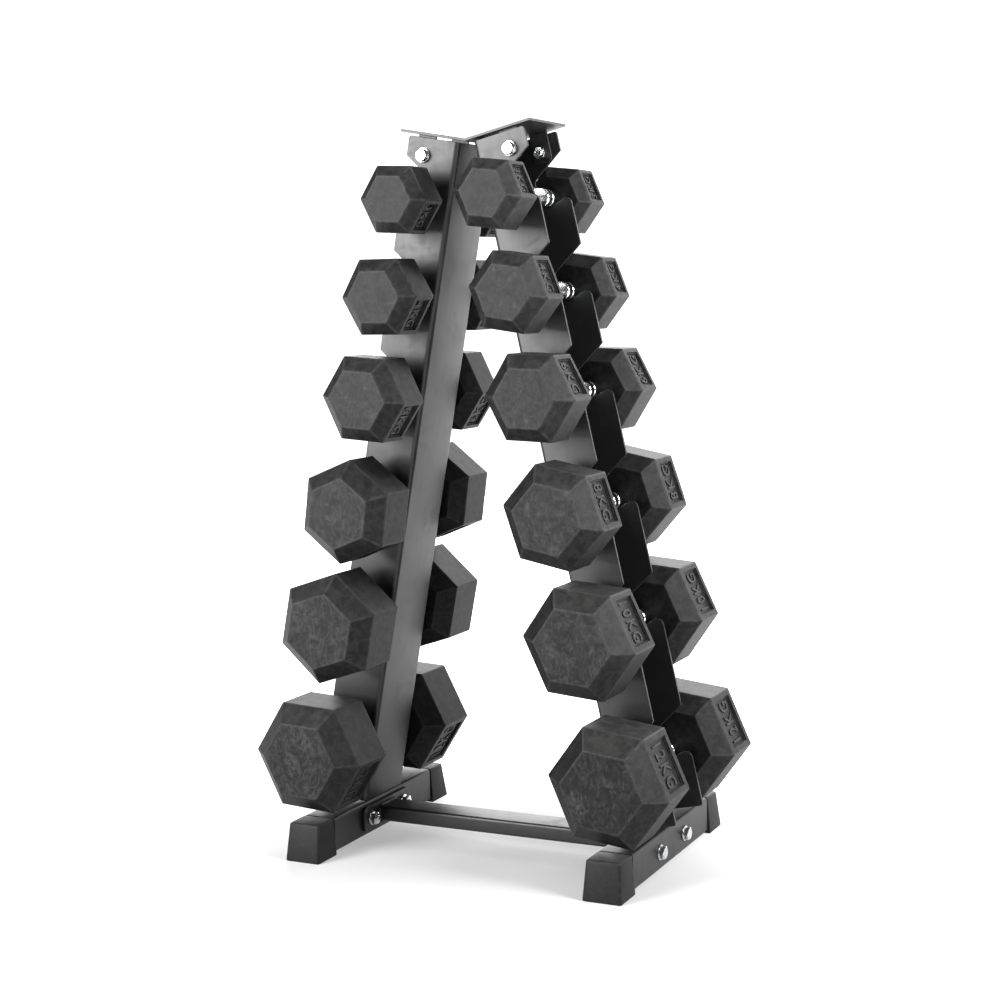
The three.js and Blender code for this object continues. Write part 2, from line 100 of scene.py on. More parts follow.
def rounded_polygon(corners: np.ndarray, radii: np.ndarray | float, steps: int) -> np.ndarray:
    """A closed outline with an arc of the given radius at each corner.

    Each arc touches both sides of its corner: its centre lies on the corner's
    bisector, at radius / sin(half the corner's angle) from the corner.

    Args:
        corners: The sharp corners in order, as an (n, 2) array.
        radii: One radius, or one for each corner.
        steps: Points on each arc.

    Returns:
        The outline's points, as an (n * steps, 2) array.
    """
    before = np.roll(corners, 1, axis=0) - corners
    after = np.roll(corners, -1, axis=0) - corners
    before /= np.linalg.norm(before, axis=1, keepdims=True)
    after /= np.linalg.norm(after, axis=1, keepdims=True)
    half = np.arccos(np.clip((before * after).sum(axis=1), -1, 1)) / 2
    radius = np.broadcast_to(np.asarray(radii, float), half.shape)
    bisector = before + after
    bisector /= np.linalg.norm(bisector, axis=1, keepdims=True)
    centre = corners + bisector * (radius / np.sin(half))[:, None]
    tangent = (radius / np.tan(half))[:, None]
    start = corners + before * tangent - centre
    end = corners + after * tangent - centre
    first = np.arctan2(start[:, 1], start[:, 0])
    cross = start[:, 0] * end[:, 1] - start[:, 1] * end[:, 0]
    turn = np.arctan2(cross, (start * end).sum(axis=1))
    angle = first[:, None] + turn[:, None] * np.linspace(0, 1, steps)
    arcs = centre[:, None] + radius[:, None, None] * np.stack([np.cos(angle), np.sin(angle)], -1)
    return arcs.reshape(-1, 2)


def box_corners(x: tuple[float, float], y: tuple[float, float]) -> np.ndarray:
    """The corners of a rectangle between two limits each way, anticlockwise."""
    return np.array([[x[0], y[0]], [x[1], y[0]], [x[1], y[1]], [x[0], y[1]]])


def rectangle(width: float, height: float, radius: float, steps: int = 8) -> np.ndarray:
    """The outline of a rounded rectangle about the origin, as an array of points."""
    x, y = width / 2, height / 2
    return rounded_polygon(box_corners((-x, x), (-y, y)), radius, steps)


def hexagon(flats: float, turn: float) -> np.ndarray:
    """A hexagon's corners from its size across flats, turned by an angle in radians."""
    angle = turn + np.arange(6) * math.pi / 3
    return flats / math.sqrt(3) * np.stack([np.cos(angle), np.sin(angle)], -1)


def full_turn(steps: int) -> np.ndarray:
    """Evenly spaced angles round a whole turn, in radians."""
    return np.linspace(0, 2 * math.pi, steps, endpoint=False)


def turned(radius: np.ndarray, along: np.ndarray, angle: np.ndarray) -> np.ndarray:
    """Rings about the Y axis, as (r cos(t), y, r sin(t)) for each row and angle."""
    return np.stack([radius * np.cos(angle), along + 0 * angle, radius * np.sin(angle)], -1)


def new_object(name: str, data: bpy.types.ID) -> Piece:
    """Puts an object that carries some data into the scene, at the origin.

    Args:
        name: The object's name.
        data: Its mesh, curve, light or camera.

    Returns:
        The new object.
    """
    obj = bpy.data.objects.new(name, data)
    bpy.context.scene.collection.objects.link(obj)
    return obj


def mesh_points(mesh: bpy.types.Mesh) -> np.ndarray:
    """A mesh's vertices, as an (n, 3) array.

    Args:
        mesh: Any mesh.

    Returns:
        Its points, in its own units.
    """
    points = np.zeros(len(mesh.vertices) * 3)
    mesh.vertices.foreach_get("co", points)
    return points.reshape(-1, 3)


def add_mask(mesh: bpy.types.Mesh, name: str, values: np.ndarray) -> None:
    """Stores a value from 0 to 1 for each vertex, which finishes read by its name."""
    mesh.attributes.new(name, "FLOAT", "POINT").data.foreach_set("value", values.ravel())


def mesh_object(name: str, points: np.ndarray, faces: list[list[int]],
                masks: Masks | None = None) -> Piece:
    """A new object from points in millimetres and the faces that join them.

    Points that coincide are merged, so seams and poles are closed, and the faces
    are turned outwards.

    Args:
        name: The object's name.
        points: The vertices, as an (n, 3) array in millimetres.
        faces: The corner numbers of each face.
        masks: A value for each vertex, by the mask's name.

    Returns:
        The object, at the origin.
    """
    mesh = bpy.data.meshes.new(name)
    mesh.from_pydata((points * MM).tolist(), [], faces)
    for title, values in (masks or {}).items():
        add_mask(mesh, title, values)
    work = bmesh.new()
    work.from_mesh(mesh)
    bmesh.ops.remove_doubles(work, verts=work.verts, dist=MERGE_DISTANCE)
    bmesh.ops.recalc_face_normals(work, faces=work.faces)
    work.to_mesh(mesh)
    work.free()
    return new_object(name, mesh)


def lofted(name: str, rings: np.ndarray, masks: Masks | None = None,
           closed_ends: bool = True) -> Piece:
    """A closed body from a stack of rings with equal numbers of points.

    Args:
        name: The object's name.
        rings: The rings' points in order, as a (rows, columns, 3) array.
        masks: A (rows, columns) array of values, by the mask's name.
        closed_ends: Whether the first and last rings are filled with a face.

    Returns:
        The body as an object.
    """
    rows, columns, _ = rings.shape
    index = np.arange(rows * columns).reshape(rows, columns)
    right = np.roll(index, -1, axis=1)
    quads = np.stack([index[:-1], right[:-1], right[1:], index[1:]], axis=-1)
    faces = quads.reshape(-1, 4).tolist()
    if closed_ends:
        faces += [index[0].tolist(), index[-1].tolist()]
    return mesh_object(name, rings.reshape(-1, 3), faces, masks)


def extruded(name: str, outline: np.ndarray, low: float, high: float, axis: str) -> Piece:
    """An outline carried straight along X, Y or Z, between two places on that axis.

    Args:
        name: The object's name.
        outline: Points in the plane across the axis: (y, z), (x, z) or (x, y).
        low: Where the body starts.
        high: Where the body ends.
        axis: The axis that the outline is carried along.

    Returns:
        The body as an object.
    """
    at = "xyz".index(axis)
    flat = np.insert(outline, at, 0.0, axis=1)
    rings = np.stack([flat, flat])
    rings[0, :, at] = low
    rings[1, :, at] = high
    return lofted(name, rings)


def shift(x: float, y: float, z: float) -> Matrix:
    """A move by millimetres along each axis."""
    return Matrix.Translation((x * MM, y * MM, z * MM))


def facing(forward: bool) -> Matrix:
    """No turn for a piece that faces forward, and half a turn about Z for its twin."""
    return Matrix.Rotation(0.0 if forward else math.pi, 4, "Z")


def placed(obj: Piece, matrix: Matrix) -> Piece:
    """Moves a piece's vertices by a matrix in metres, and leaves its object at the origin."""
    obj.data.transform(matrix)
    return obj


def smooth(obj: Piece, angle: float) -> Piece:
    """Shades a piece smoothly, with edges sharper than an angle in degrees kept sharp.

    Args:
        obj: The piece.
        angle: The sharpest angle that is still smoothed, in degrees.

    Returns:
        The same piece.
    """
    obj.data.shade_smooth()
    obj.data.set_sharp_from_angle(angle=math.radians(angle))
    return obj


def rounded_edges(obj: Piece, width: float) -> Piece:
    """Rounds a piece's sharp edges with a Bevel modifier of a width in millimetres.

    Args:
        obj: The piece.
        width: The width of each rounding.

    Returns:
        The same piece.
    """
    bevel = obj.modifiers.new("rounded_edges", "BEVEL")
    bevel.width = width * MM
    bevel.segments = 2
    bevel.limit_method = "ANGLE"
    bevel.angle_limit = math.radians(SHARP_ANGLE)
    bevel.harden_normals = True
    obj.data.shade_smooth()
    return obj


# ---- Shader node helpers ----


class Graph:
    """A node tree that is filled by short calls."""

    def __init__(self, tree: bpy.types.NodeTree) -> None:
        """Keeps the tree that nodes are added to.

        Args:
            tree: A material's node tree or a node group.
        """
        self.tree = tree

    def feed(self, socket: Socket, value: object) -> None:
        """Links an output to an input, or sets the input's own value.

        Args:
            socket: The input.
            value: An output socket, or a plain value.
        """
        if isinstance(value, Socket):
            self.tree.links.new(value, socket)
        else:
            socket.default_value = value

    def node(self, kind: str, inputs: dict | None = None, **settings: object) -> bpy.types.Node:
        """Adds one node.

        Args:
            kind: The node's type, such as "ShaderNodeMath".
            inputs: A value or an output socket for each input, by its name or number.
            settings: The node's own settings.

        Returns:
            The new node.
        """
        made = self.tree.nodes.new(kind)
        for key, value in settings.items():
            setattr(made, key, value)
        for key, value in (inputs or {}).items():
            self.feed(made.inputs[key], value)
        return made

    def math(self, operation: str, a: object, b: object = 0.0) -> Socket:
        """The result of one sum of two values or sockets."""
        return self.node("ShaderNodeMath", {0: a, 1: b}, operation=operation).outputs[0]

    def product(self, first: object, *others: object) -> Socket:
        """Several values or sockets multiplied together.

        Args:
            first: The first factor.
            others: The other factors.

        Returns:
            The product's socket.
        """
        for other in others:
            first = self.math("MULTIPLY", first, other)
        return first

    def span(self, value: object, low: float, high: float, to_low: object = 0.0,
             to_high: object = 1.0) -> Socket:
        """A value's place between two limits, eased and clamped, on a new scale.

        Args:
            value: The value.
            low: The lower limit.
            high: The upper limit.
            to_low: What the lower limit becomes.
            to_high: What the upper limit becomes.

        Returns:
            The new value's socket.
        """
        made = self.node("ShaderNodeMapRange", {0: value, 1: low, 2: high, 3: to_low, 4: to_high},
                         interpolation_type="SMOOTHSTEP")
        return made.outputs[0]

    def blend(self, share: object, first: object, second: object) -> Socket:
        """A colour that goes from the first to the second as the share goes to 1."""
        made = self.node("ShaderNodeMix", {0: share, 6: first, 7: second}, data_type="RGBA")
        return made.outputs[2]

    def noise(self, vector: object, scale: object, detail: float = 2.0,
              distortion: float = 0.0) -> Socket:
        """Smooth noise from 0 to 1 with features of about 1 / scale metres.

        Args:
            vector: The place that it is read at.
            scale: How fine it is.
            detail: How many finer layers are added.
            distortion: How far it is warped.

        Returns:
            The noise's socket.
        """
        made = self.node("ShaderNodeTexNoise", {"Vector": vector, "Scale": scale, "Detail": detail,
                                                "Distortion": distortion})
        return made.outputs[0]

    def stretched(self, vector: object, scale: tuple[float, float, float],
                  turn: tuple[float, float, float] = (0.0, 0.0, 0.0)) -> Socket:
        """Coordinates turned and stretched, for patterns that run one way."""
        made = self.node("ShaderNodeMapping", {"Vector": vector, "Scale": scale, "Rotation": turn})
        return made.outputs[0]

    def effect(self, group: bpy.types.NodeTree, **inputs: object) -> Socket:
        """Places a node group with its own values, and returns its only output.

        Args:
            group: The node group.
            inputs: A value or socket for each of its inputs.

        Returns:
            The group's output.
        """
        made = self.node("ShaderNodeGroup", node_tree=group)
        for name, value in inputs.items():
            self.feed(made.inputs[name.capitalize()], value)
        return made.outputs[0]


class Effects:
    """Node groups for effects that several finishes use, each built once."""

    def __init__(self) -> None:
        """Builds the groups."""
        self.grain = self._group("surface_grain", self._grain, Scale=900.0, Cells=0.4)
        self.scuffs = self._group("rubbed_patches", self._scuffs, Scale=30.0, Amount=0.5)
        self.dust = self._group("settled_dust", self._dust, Scale=60.0, Amount=0.3)
        self.wear = self._group("edge_wear", self._wear, Scale=120.0, Amount=0.6)

    @staticmethod
    def _group(name: str, recipe: Callable, **inputs: float) -> bpy.types.NodeTree:
        """A group that turns a vector and some named values into one value.

        Args:
            name: The group's name.
            recipe: Adds the nodes, from the graph and the group's input sockets, and
                returns the socket of the result.
            inputs: Each value's name and its default.

        Returns:
            The group's node tree.
        """
        tree = bpy.data.node_groups.new(name, "ShaderNodeTree")
        tree.interface.new_socket("Vector", in_out="INPUT", socket_type="NodeSocketVector")
        for title, value in inputs.items():
            made = tree.interface.new_socket(title, in_out="INPUT", socket_type="NodeSocketFloat")
            made.default_value = value
        tree.interface.new_socket("Result", in_out="OUTPUT", socket_type="NodeSocketFloat")
        graph = Graph(tree)
        result = recipe(graph, graph.node("NodeGroupInput").outputs)
        graph.node("NodeGroupOutput", {0: result})
        return tree

    @staticmethod
    def _grain(graph: Graph, given: Sockets) -> Socket:
        """Fine pebbled grain: small cells broken up by noise of half their size.

        Args:
            graph: The group's graph.
            given: The group's inputs.

        Returns:
            The height.
        """
        place, scale, share = given["Vector"], given["Scale"], given["Cells"]
        cells = graph.node("ShaderNodeTexVoronoi", {"Vector": place, "Scale": scale})
        fine = graph.noise(place, graph.product(scale, 2.0), 3.0)
        pebbles = graph.product(cells.outputs["Distance"], share)
        return graph.math("ADD", pebbles, graph.product(fine, graph.math("SUBTRACT", 1.0, share)))

    @staticmethod
    def _scuffs(graph: Graph, given: Sockets) -> Socket:
        """Soft rubbed patches: wide warped noise, thinned by finer streaks.

        Args:
            graph: The group's graph.
            given: The group's inputs.

        Returns:
            The mask.
        """
        place, scale = given["Vector"], given["Scale"]
        streaks = graph.stretched(place, (1.0, 1.0, 1.5), (0.4, 0.7, 0.2))
        patches = graph.span(graph.noise(place, scale, 4.0, 1.2), 0.42, 0.68)
        fine = graph.noise(streaks, graph.product(scale, 3.0), 5.0, 0.6)
        return graph.product(patches, graph.span(fine, 0.35, 0.75), given["Amount"])

    @staticmethod
    def _dust(graph: Graph, given: Sockets) -> Socket:
        """Dust that settles on faces turned up, in uneven patches.

        Args:
            graph: The group's graph.
            given: The group's inputs.

        Returns:
            The mask.
        """
        normal = graph.node("ShaderNodeNewGeometry").outputs["Normal"]
        up = graph.node("ShaderNodeSeparateXYZ", {0: normal}).outputs["Z"]
        cover = graph.noise(given["Vector"], given["Scale"], 4.0)
        patches = graph.span(cover, 0.3, 0.7, 0.35, 1.0)
        return graph.product(graph.span(up, 0.2, 1.0), patches, given["Amount"])

    @staticmethod
    def _wear(graph: Graph, given: Sockets) -> Socket:
        """Wear along edges, partly a painted highlight: a piece's edge attribute, broken up by
        noise.

        Args:
            graph: The group's graph.
            given: The group's inputs.

        Returns:
            The mask.
        """
        edge = graph.node("ShaderNodeAttribute", attribute_name="edge").outputs["Fac"]
        broken = graph.span(graph.noise(given["Vector"], given["Scale"], 4.0), 0.25, 0.6)
        return graph.product(edge, broken, given["Amount"])


# ---- Finishes ----


def grey(value: float, warm: float = 0.0) -> Colour:
    """A near-neutral colour, with its red raised and its blue lowered by a share."""
    return (value * (1 + warm), value, value * (1 - warm), 1.0)


class Finish:
    """A material with one Principled shader, on the piece's own coordinates."""

    def __init__(self, name: str, effects: Effects) -> None:
        """Starts the material.

        Args:
            name: The material's name.
            effects: The node groups that finishes share.
        """
        self.effects = effects
        self.material = bpy.data.materials.new(name)
        self.material.use_nodes = True
        self.graph = Graph(self.material.node_tree)
        self.shader = self.material.node_tree.nodes["Principled BSDF"]
        self.place = self.graph.node("ShaderNodeTexCoord").outputs["Object"]

    def set(self, **inputs: object) -> None:
        """Sets or links the shader's inputs, with an underscore for each space."""
        for name, value in inputs.items():
            self.graph.feed(self.shader.inputs[name.replace("_", " ")], value)

    def mark(self, effect: bpy.types.NodeTree, scale: float, amount: float) -> Socket:
        """The mask of one of the shared effects."""
        return self.graph.effect(effect, vector=self.place, scale=scale, amount=amount)

    def dusted(self, colour: Socket, scale: float, amount: float, dust: Colour) -> Socket:
        """A colour with dust settled over it."""
        return self.graph.blend(self.mark(self.effects.dust, scale, amount), colour, dust)

    def grain(self, scale: float, cells: float) -> Socket:
        """The height of a pebbled grain, with a share of it from its cells."""
        return self.graph.effect(self.effects.grain, vector=self.place, scale=scale, cells=cells)

    def bump(self, height: Socket, depth: float) -> None:
        """Raises the surface by a height from 0 to 1 times a depth in millimetres.

        Args:
            height: The height's socket.
            depth: The depth that a height of 1 stands for.
        """
        made = self.graph.node("ShaderNodeBump", {"Strength": 1.0, "Distance": depth * MM,
                                                  "Height": height})
        self.graph.feed(self.shader.inputs["Normal"], made.outputs[0])


@dataclass(frozen=True)
class Coat:
    """A dark coat with rubbed patches, settled dust and a fine grain.

    The pairs are a pattern's scale and amount, or the two ends of a measure.
    """

    name: str
    base: float
    rubbed: float
    specular: float
    scuffs: tuple[float, float]
    dust: tuple[float, float]
    dust_grey: float
    gloss_from: tuple[float, float]
    roughness: tuple[float, float]
    grain: tuple[float, float]
    grain_depth: float
    streak_scale: float = 0.0

    def build(self, effects: Effects) -> bpy.types.Material:
        """The material. Streaks along Z dull its gloss if they have a scale.

        Args:
            effects: The node groups that finishes share.

        Returns:
            The material.
        """
        made = Finish(self.name, effects)
        graph = made.graph
        patches = dull = made.mark(effects.scuffs, *self.scuffs)
        if self.streak_scale:
            drawn = graph.stretched(made.place, (1.0, 1.0, 0.12))
            dull = graph.math("ADD", graph.noise(drawn, self.streak_scale, 4.0), patches)
        worn = graph.blend(patches, grey(self.base), grey(self.rubbed))
        made.set(
            Base_Color=made.dusted(worn, *self.dust, grey(self.dust_grey, 0.03)),
            Roughness=graph.span(dull, *self.gloss_from, *self.roughness),
            Specular_IOR_Level=self.specular,
        )
        made.bump(made.grain(*self.grain), self.grain_depth)
        return made.material


POWDER_COAT = Coat("black_powder_coat", base=0.009, rubbed=0.016, specular=0.85,
                   scuffs=(24.0, 0.8), dust=(70.0, 0.12), dust_grey=0.12,
                   gloss_from=(0.2, 1.3), roughness=(0.43, 0.51),
                   grain=(620.0, 0.15), grain_depth=0.035, streak_scale=130.0)
MOULDED_PLASTIC = Coat("black_moulded_plastic", base=0.012, rubbed=0.035, specular=0.3,
                       scuffs=(55.0, 0.6), dust=(90.0, 0.25), dust_grey=0.16,
                       gloss_from=(0.0, 0.6), roughness=(0.5, 0.65),
                       grain=(1500.0, 0.7), grain_depth=0.05)


@dataclass(frozen=True)
class Plating:
    """Bright plated steel: chrome on the handles, zinc on the fasteners."""

    name: str
    base: float
    roughness: float
    haze: float
    cool: float = 0.02
    dulled_share: float = 0.82
    marks: tuple[float, float] = (140.0, 1.0)
    grain: tuple[float, float] = (1800.0, 0.1)
    grain_depth: float = 0.006

    def build(self, effects: Effects) -> bpy.types.Material:
        """The material, with a haze of fingermarks in its gloss.

        Args:
            effects: The node groups that finishes share.

        Returns:
            The material.
        """
        made = Finish(self.name, effects)
        graph = made.graph
        marks = made.mark(effects.scuffs, *self.marks)
        dulled = grey(self.base * self.dulled_share)
        made.set(
            Base_Color=graph.blend(marks, grey(self.base, -self.cool), dulled),
            Metallic=1.0,
            Roughness=graph.span(marks, 0.0, 0.8, self.roughness, self.roughness + self.haze),
        )
        made.bump(made.grain(*self.grain), self.grain_depth)
        return made.material


@dataclass(frozen=True)
class Rubber:
    """Matt moulded rubber with rubbed end faces, pale edges that are partly wear and partly a
    painted highlight, and a little dust.
    """

    base: float = 0.012
    rubbed: float = 0.058
    edge: float = 0.075
    roughness: tuple[float, float] = (0.52, 0.72)
    smears: tuple[float, float] = (44.0, 1.0)
    flow_scale: float = 90.0
    flow_share: float = 0.55
    off_face: float = 0.12
    mottle_scale: float = 120.0
    mottle_spread: float = 0.5
    wear: tuple[float, float] = (160.0, 0.32)
    dust: tuple[float, float] = (75.0, 0.22)
    grain: tuple[float, float] = (1100.0, 0.5)
    grain_depth: float = 0.09
    smear_relief: float = 0.8

    def build(self, effects: Effects) -> bpy.types.Material:
        """The material for heads and for the figures on their labels.

        Args:
            effects: The node groups that finishes share.

        Returns:
            The material.
        """
        made = Finish("moulded_rubber", effects)
        graph, place = made.graph, made.place
        face = graph.node("ShaderNodeAttribute", attribute_name="end_face").outputs["Fac"]
        smears = made.mark(effects.scuffs, *self.smears)
        strokes = graph.stretched(place, (1.0, 0.6, 0.45), (0.5, 0.9, 0.3))
        flow = graph.span(graph.noise(strokes, self.flow_scale, 8.0, 3.0), 0.47, 0.72)
        marks = graph.math("ADD", smears, graph.product(flow, self.flow_share))
        smeared = graph.product(marks, graph.span(face, 0.0, 1.0, self.off_face, 1.0))
        wear = made.mark(effects.wear, *self.wear)
        mottle = graph.span(graph.noise(place, self.mottle_scale, 8.0, 0.8), 0.32, 0.68)
        darker, lighter = self.base * (1 - self.mottle_spread), self.base * (1 + self.mottle_spread)
        body = graph.blend(mottle, grey(darker), grey(lighter))
        rubbed = graph.blend(smeared, body, grey(self.rubbed, 0.01))
        # Pale edges: partly wear, partly a painted highlight along the rounded edges.
        worn = graph.blend(wear, rubbed, grey(self.edge))
        made.set(
            Base_Color=made.dusted(worn, *self.dust, grey(0.17, 0.02)),
            Roughness=graph.span(smeared, 0.0, 0.8, *self.roughness),
            Specular_IOR_Level=0.3,
        )
        relief = graph.product(smeared, self.smear_relief)
        made.bump(graph.math("ADD", made.grain(*self.grain), relief), self.grain_depth)
        return made.material


class Slot(Enum):
    """The record's material slots."""

    STEEL = "black_steel"
    PLASTIC = "black_plastic"
    BOLT = "bolt_chrome"
    HANDLE = "handle_chrome"
    RUBBER = "head_rubber"


class Workshop:
    """Holds the finishes, and fits each finished piece to the frame."""

    def __init__(self) -> None:
        """Builds every finish once."""
        effects = Effects()
        self.finishes = {
            Slot.STEEL: POWDER_COAT.build(effects),
            Slot.PLASTIC: MOULDED_PLASTIC.build(effects),
            Slot.BOLT: Plating("zinc_plating", 0.72, 0.2, 0.14).build(effects),
            Slot.HANDLE: Plating("polished_chrome", 0.8, 0.09, 0.12).build(effects),
            Slot.RUBBER: Rubber().build(effects),
        }

    def fit(self, obj: Piece, slot: Slot, *nodes: str, body: str = "rack") -> None:
        """Paints a piece, rides it on a body and lets it stand for its CAD nodes.

        Args:
            obj: The finished piece, in place.
            slot: The material slot that it takes its finish from.
            nodes: The CAD nodes that it replaces.
            body: The body that it moves with.
        """
        obj.data.materials.clear()
        obj.data.materials.append(self.finishes[slot])
        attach(obj, body)
        if nodes:
            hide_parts(*nodes)
        log.info("%s: %d faces, on %s", obj.name, len(obj.data.polygons), body)


# ---- The frame's own places, and the rows of dumbbells ----


@dataclass(frozen=True)
class PostPlace:
    """Where the uprights stand. A post's own axes are its depth, Y and its length."""

    length: float = 775.0
    top_spacing: float = 17.5
    flange_depth: float = 63.5

    @property
    def foot(self) -> tuple[float, float]:
        """The X and Z of the right post's foot, at the tube's upper inside edge."""
        low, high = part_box("right_base_tube")
        return low.x / MM, high.z / MM

    @property
    def lean(self) -> float:
        """The angle that brings the posts' tops together, in radians."""
        return math.asin((self.foot[0] - self.top_spacing / 2) / self.length)

    def matrix(self, side: Side) -> Matrix:
        """From a post's own axes to the rack's: leant, moved to its foot, turned for the left.

        Args:
            side: The side of the rack.

        Returns:
            The matrix, in metres.
        """
        x, z = self.foot
        lean = Matrix.Rotation(-self.lean, 4, "Y")
        return facing(side is Side.RIGHT) @ shift(x, 0.0, z) @ lean

    def inverse(self, place: Matrix) -> tuple[float, float]:
        """The depth and length of a place, measured on the right post."""
        local = self.matrix(Side.RIGHT).inverted() @ place.translation
        return local.x / MM, local.z / MM


@dataclass(frozen=True)
class Tier:
    """The dumbbells of one row: their weight, their head, and how each side's is turned."""

    number: int
    kilograms: int
    flats: float
    straight: float
    label_right: float
    label_left: float

    def label_angle(self, side: Side) -> float:
        """The way the label faces, in radians above the rack's +X."""
        return math.radians(self.label_right if side is Side.RIGHT else self.label_left)


TIERS = (
    Tier(1, 3, 72.0, 36.0, 22.0, -34.0),
    Tier(2, 4, 82.5, 38.0, 20.5, -31.0),
    Tier(3, 6, 92.0, 42.0, 27.0, -35.0),
    Tier(4, 8, 103.5, 48.5, 18.0, -69.0),
    Tier(5, 10, 113.0, 53.0, 24.5, -72.5),
    Tier(6, 12, 120.5, 57.5, 23.0, -33.5),
)


def box_mm(node: str) -> tuple[np.ndarray, np.ndarray]:
    """The lowest and highest corners of a CAD node, in millimetres."""
    low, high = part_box(node)
    return np.array(low) / MM, np.array(high) / MM


def handle_place(side: Side, tier: Tier) -> Matrix:
    """The move from the origin to the middle of a dumbbell's handle."""
    low, high = box_mm(f"{side.word}_{tier.number}_handle")
    return shift(*((low + high) / 2).tolist())


def arc(centre: tuple[float, float], radius: float, start: float, end: float,
        steps: int = 10) -> np.ndarray:
    """Points on a circle between two angles in radians: centre + radius (cos, sin)."""
    angle = np.linspace(start, end, steps)
    return np.stack([centre[0] + radius * np.cos(angle), centre[1] + radius * np.sin(angle)], -1)


# ---- Steelwork ----


@dataclass
class Uprights:
    """Two folded channels. Each is one flat sheet, cut to its outline and then bent."""

    shop: Workshop
    place: PostPlace
    web_width: float = 86.0
    sheet: float = 3.0
    bend_radius: float = 5.5
    bend_steps: int = 8
    foot_gap: float = 0.3
    end_radius: float = 3.0
    seat_radius: float = 10.9
    lip_radius: float = 8.0
    lip_rise: float = 6.7
    roof_rise: float = 22.5
    roof_angle: float = math.radians(33.0)
    roof_fillet: float = 6.0
    edge_round: float = 0.5

    @property
    def straight(self) -> float:
        """The flat part of half the web."""
        return self.web_width / 2 - self.bend_radius

    @property
    def bend_length(self) -> float:
        """The length of one bend round its outside."""
        return self.bend_radius * math.pi / 2

    def seat_edge(self, depth: float, seat: float) -> np.ndarray:
        """One seat's edge going up the flange: lip, ramp, round seat, wall and roof.

        The ramp touches the lip's circle and the seat's, so its slope is
        asin((R + r) / distance) - atan(drop / distance across).

        Args:
            depth: The seat's centre, across the flange.
            seat: The seat's centre, along the post.

        Returns:
            Points of depth and length.
        """
        drop = self.seat_radius - self.lip_rise + self.lip_radius
        lip = self.place.flange_depth - self.lip_radius
        across = lip - depth
        both = self.seat_radius + self.lip_radius
        ramp = math.asin(both / math.hypot(across, drop)) - math.atan2(drop, across)
        wall = depth - self.seat_radius
        fillet = self.roof_fillet * math.tan((math.pi / 2 - self.roof_angle) / 2)
        roof_run = self.place.flange_depth - wall
        roof_end = seat + self.roof_rise + roof_run * math.tan(self.roof_angle)
        return np.concatenate([
            arc((lip, seat - drop), self.lip_radius, 0.0, math.pi / 2 + ramp),
            arc((depth, seat), self.seat_radius, ramp - math.pi / 2, -math.pi, 14),
            arc((wall + self.roof_fillet, seat + self.roof_rise - fillet), self.roof_fillet,
                math.pi, math.pi / 2 + self.roof_angle, 6),
            [[self.place.flange_depth, roof_end]],
        ])

    def flange_edge(self) -> np.ndarray:
        """A flange's free edge from its foot to its top, as depth and length.

        Returns:
            Points of depth and length.
        """
        seats = [self.place.inverse(handle_place(Side.RIGHT, tier)) for tier in reversed(TIERS)]
        corner, r = self.place.flange_depth - self.end_radius, self.end_radius
        return np.concatenate([
            arc((corner, self.foot_gap + r), r, -math.pi / 2, 0.0, 5),
            *[self.seat_edge(depth, seat) for depth, seat in seats],
            arc((corner, self.place.length - r), r, 0.0, math.pi / 2, 5),
        ])

    def folded(self, flat: np.ndarray) -> np.ndarray:
        """Bends the flat sheet along the edges of its web.

        With s the distance from the web's middle, the sheet turns through
        (s - straight) / radius, kept between zero and a right angle.

        Args:
            flat: Points across the sheet and along it, as an (n, 2) array.

        Returns:
            Points of depth, Y and length, as an (n, 3) array.
        """
        away = np.abs(flat[:, 0])
        angle = np.clip((away - self.straight) / self.bend_radius, 0, math.pi / 2)
        y = np.minimum(away, self.straight) + self.bend_radius * np.sin(angle)
        past = np.maximum(away - self.straight - self.bend_length, 0)
        depth = self.bend_radius * (1 - np.cos(angle)) + past
        return np.stack([depth, np.sign(flat[:, 0]) * y, flat[:, 1]], axis=-1)

    def build_one(self, side: Side) -> Piece:
        """One upright: the sheet's outline, cut along its bends, folded and given its wall.

        Args:
            side: The side of the rack.

        Returns:
            The upright as an object, with its wall and rounded edges as modifiers.
        """
        edge = self.flange_edge()
        across = edge[:, 0] - self.bend_radius + self.straight + self.bend_length
        right = np.stack([across, edge[:, 1]], axis=-1)
        left = right[::-1] * (-1, 1)
        outline = np.concatenate([right, left])[::-1]
        mesh = bpy.data.meshes.new(f"{side.word}_folded_upright")
        flat = np.insert(outline, 2, 0.0, axis=1).tolist()
        mesh.from_pydata(flat, [], [list(range(len(flat)))])
        work = bmesh.new()
        work.from_mesh(mesh)
        lines = self.straight + np.linspace(0, self.bend_length, self.bend_steps + 1)
        for line in np.concatenate([lines, -lines]).tolist():
            geometry = work.verts[:] + work.edges[:] + work.faces[:]
            bmesh.ops.bisect_plane(work, geom=geometry, plane_co=(line, 0, 0), plane_no=(1, 0, 0))
        work.to_mesh(mesh)
        work.free()
        folded = self.folded(mesh_points(mesh)[:, :2]) * MM
        mesh.vertices.foreach_set("co", folded.ravel())
        obj = new_object(mesh.name, mesh)
        wall = obj.modifiers.new("sheet", "SOLIDIFY")
        wall.thickness = self.sheet * MM
        wall.offset = -1.0
        placed(obj, self.place.matrix(side))
        return rounded_edges(obj, self.edge_round)

    def build(self) -> None:
        """Both uprights, fitted to the frame."""
        for side in Side:
            self.shop.fit(self.build_one(side), Slot.STEEL, f"{side.word}_upright")


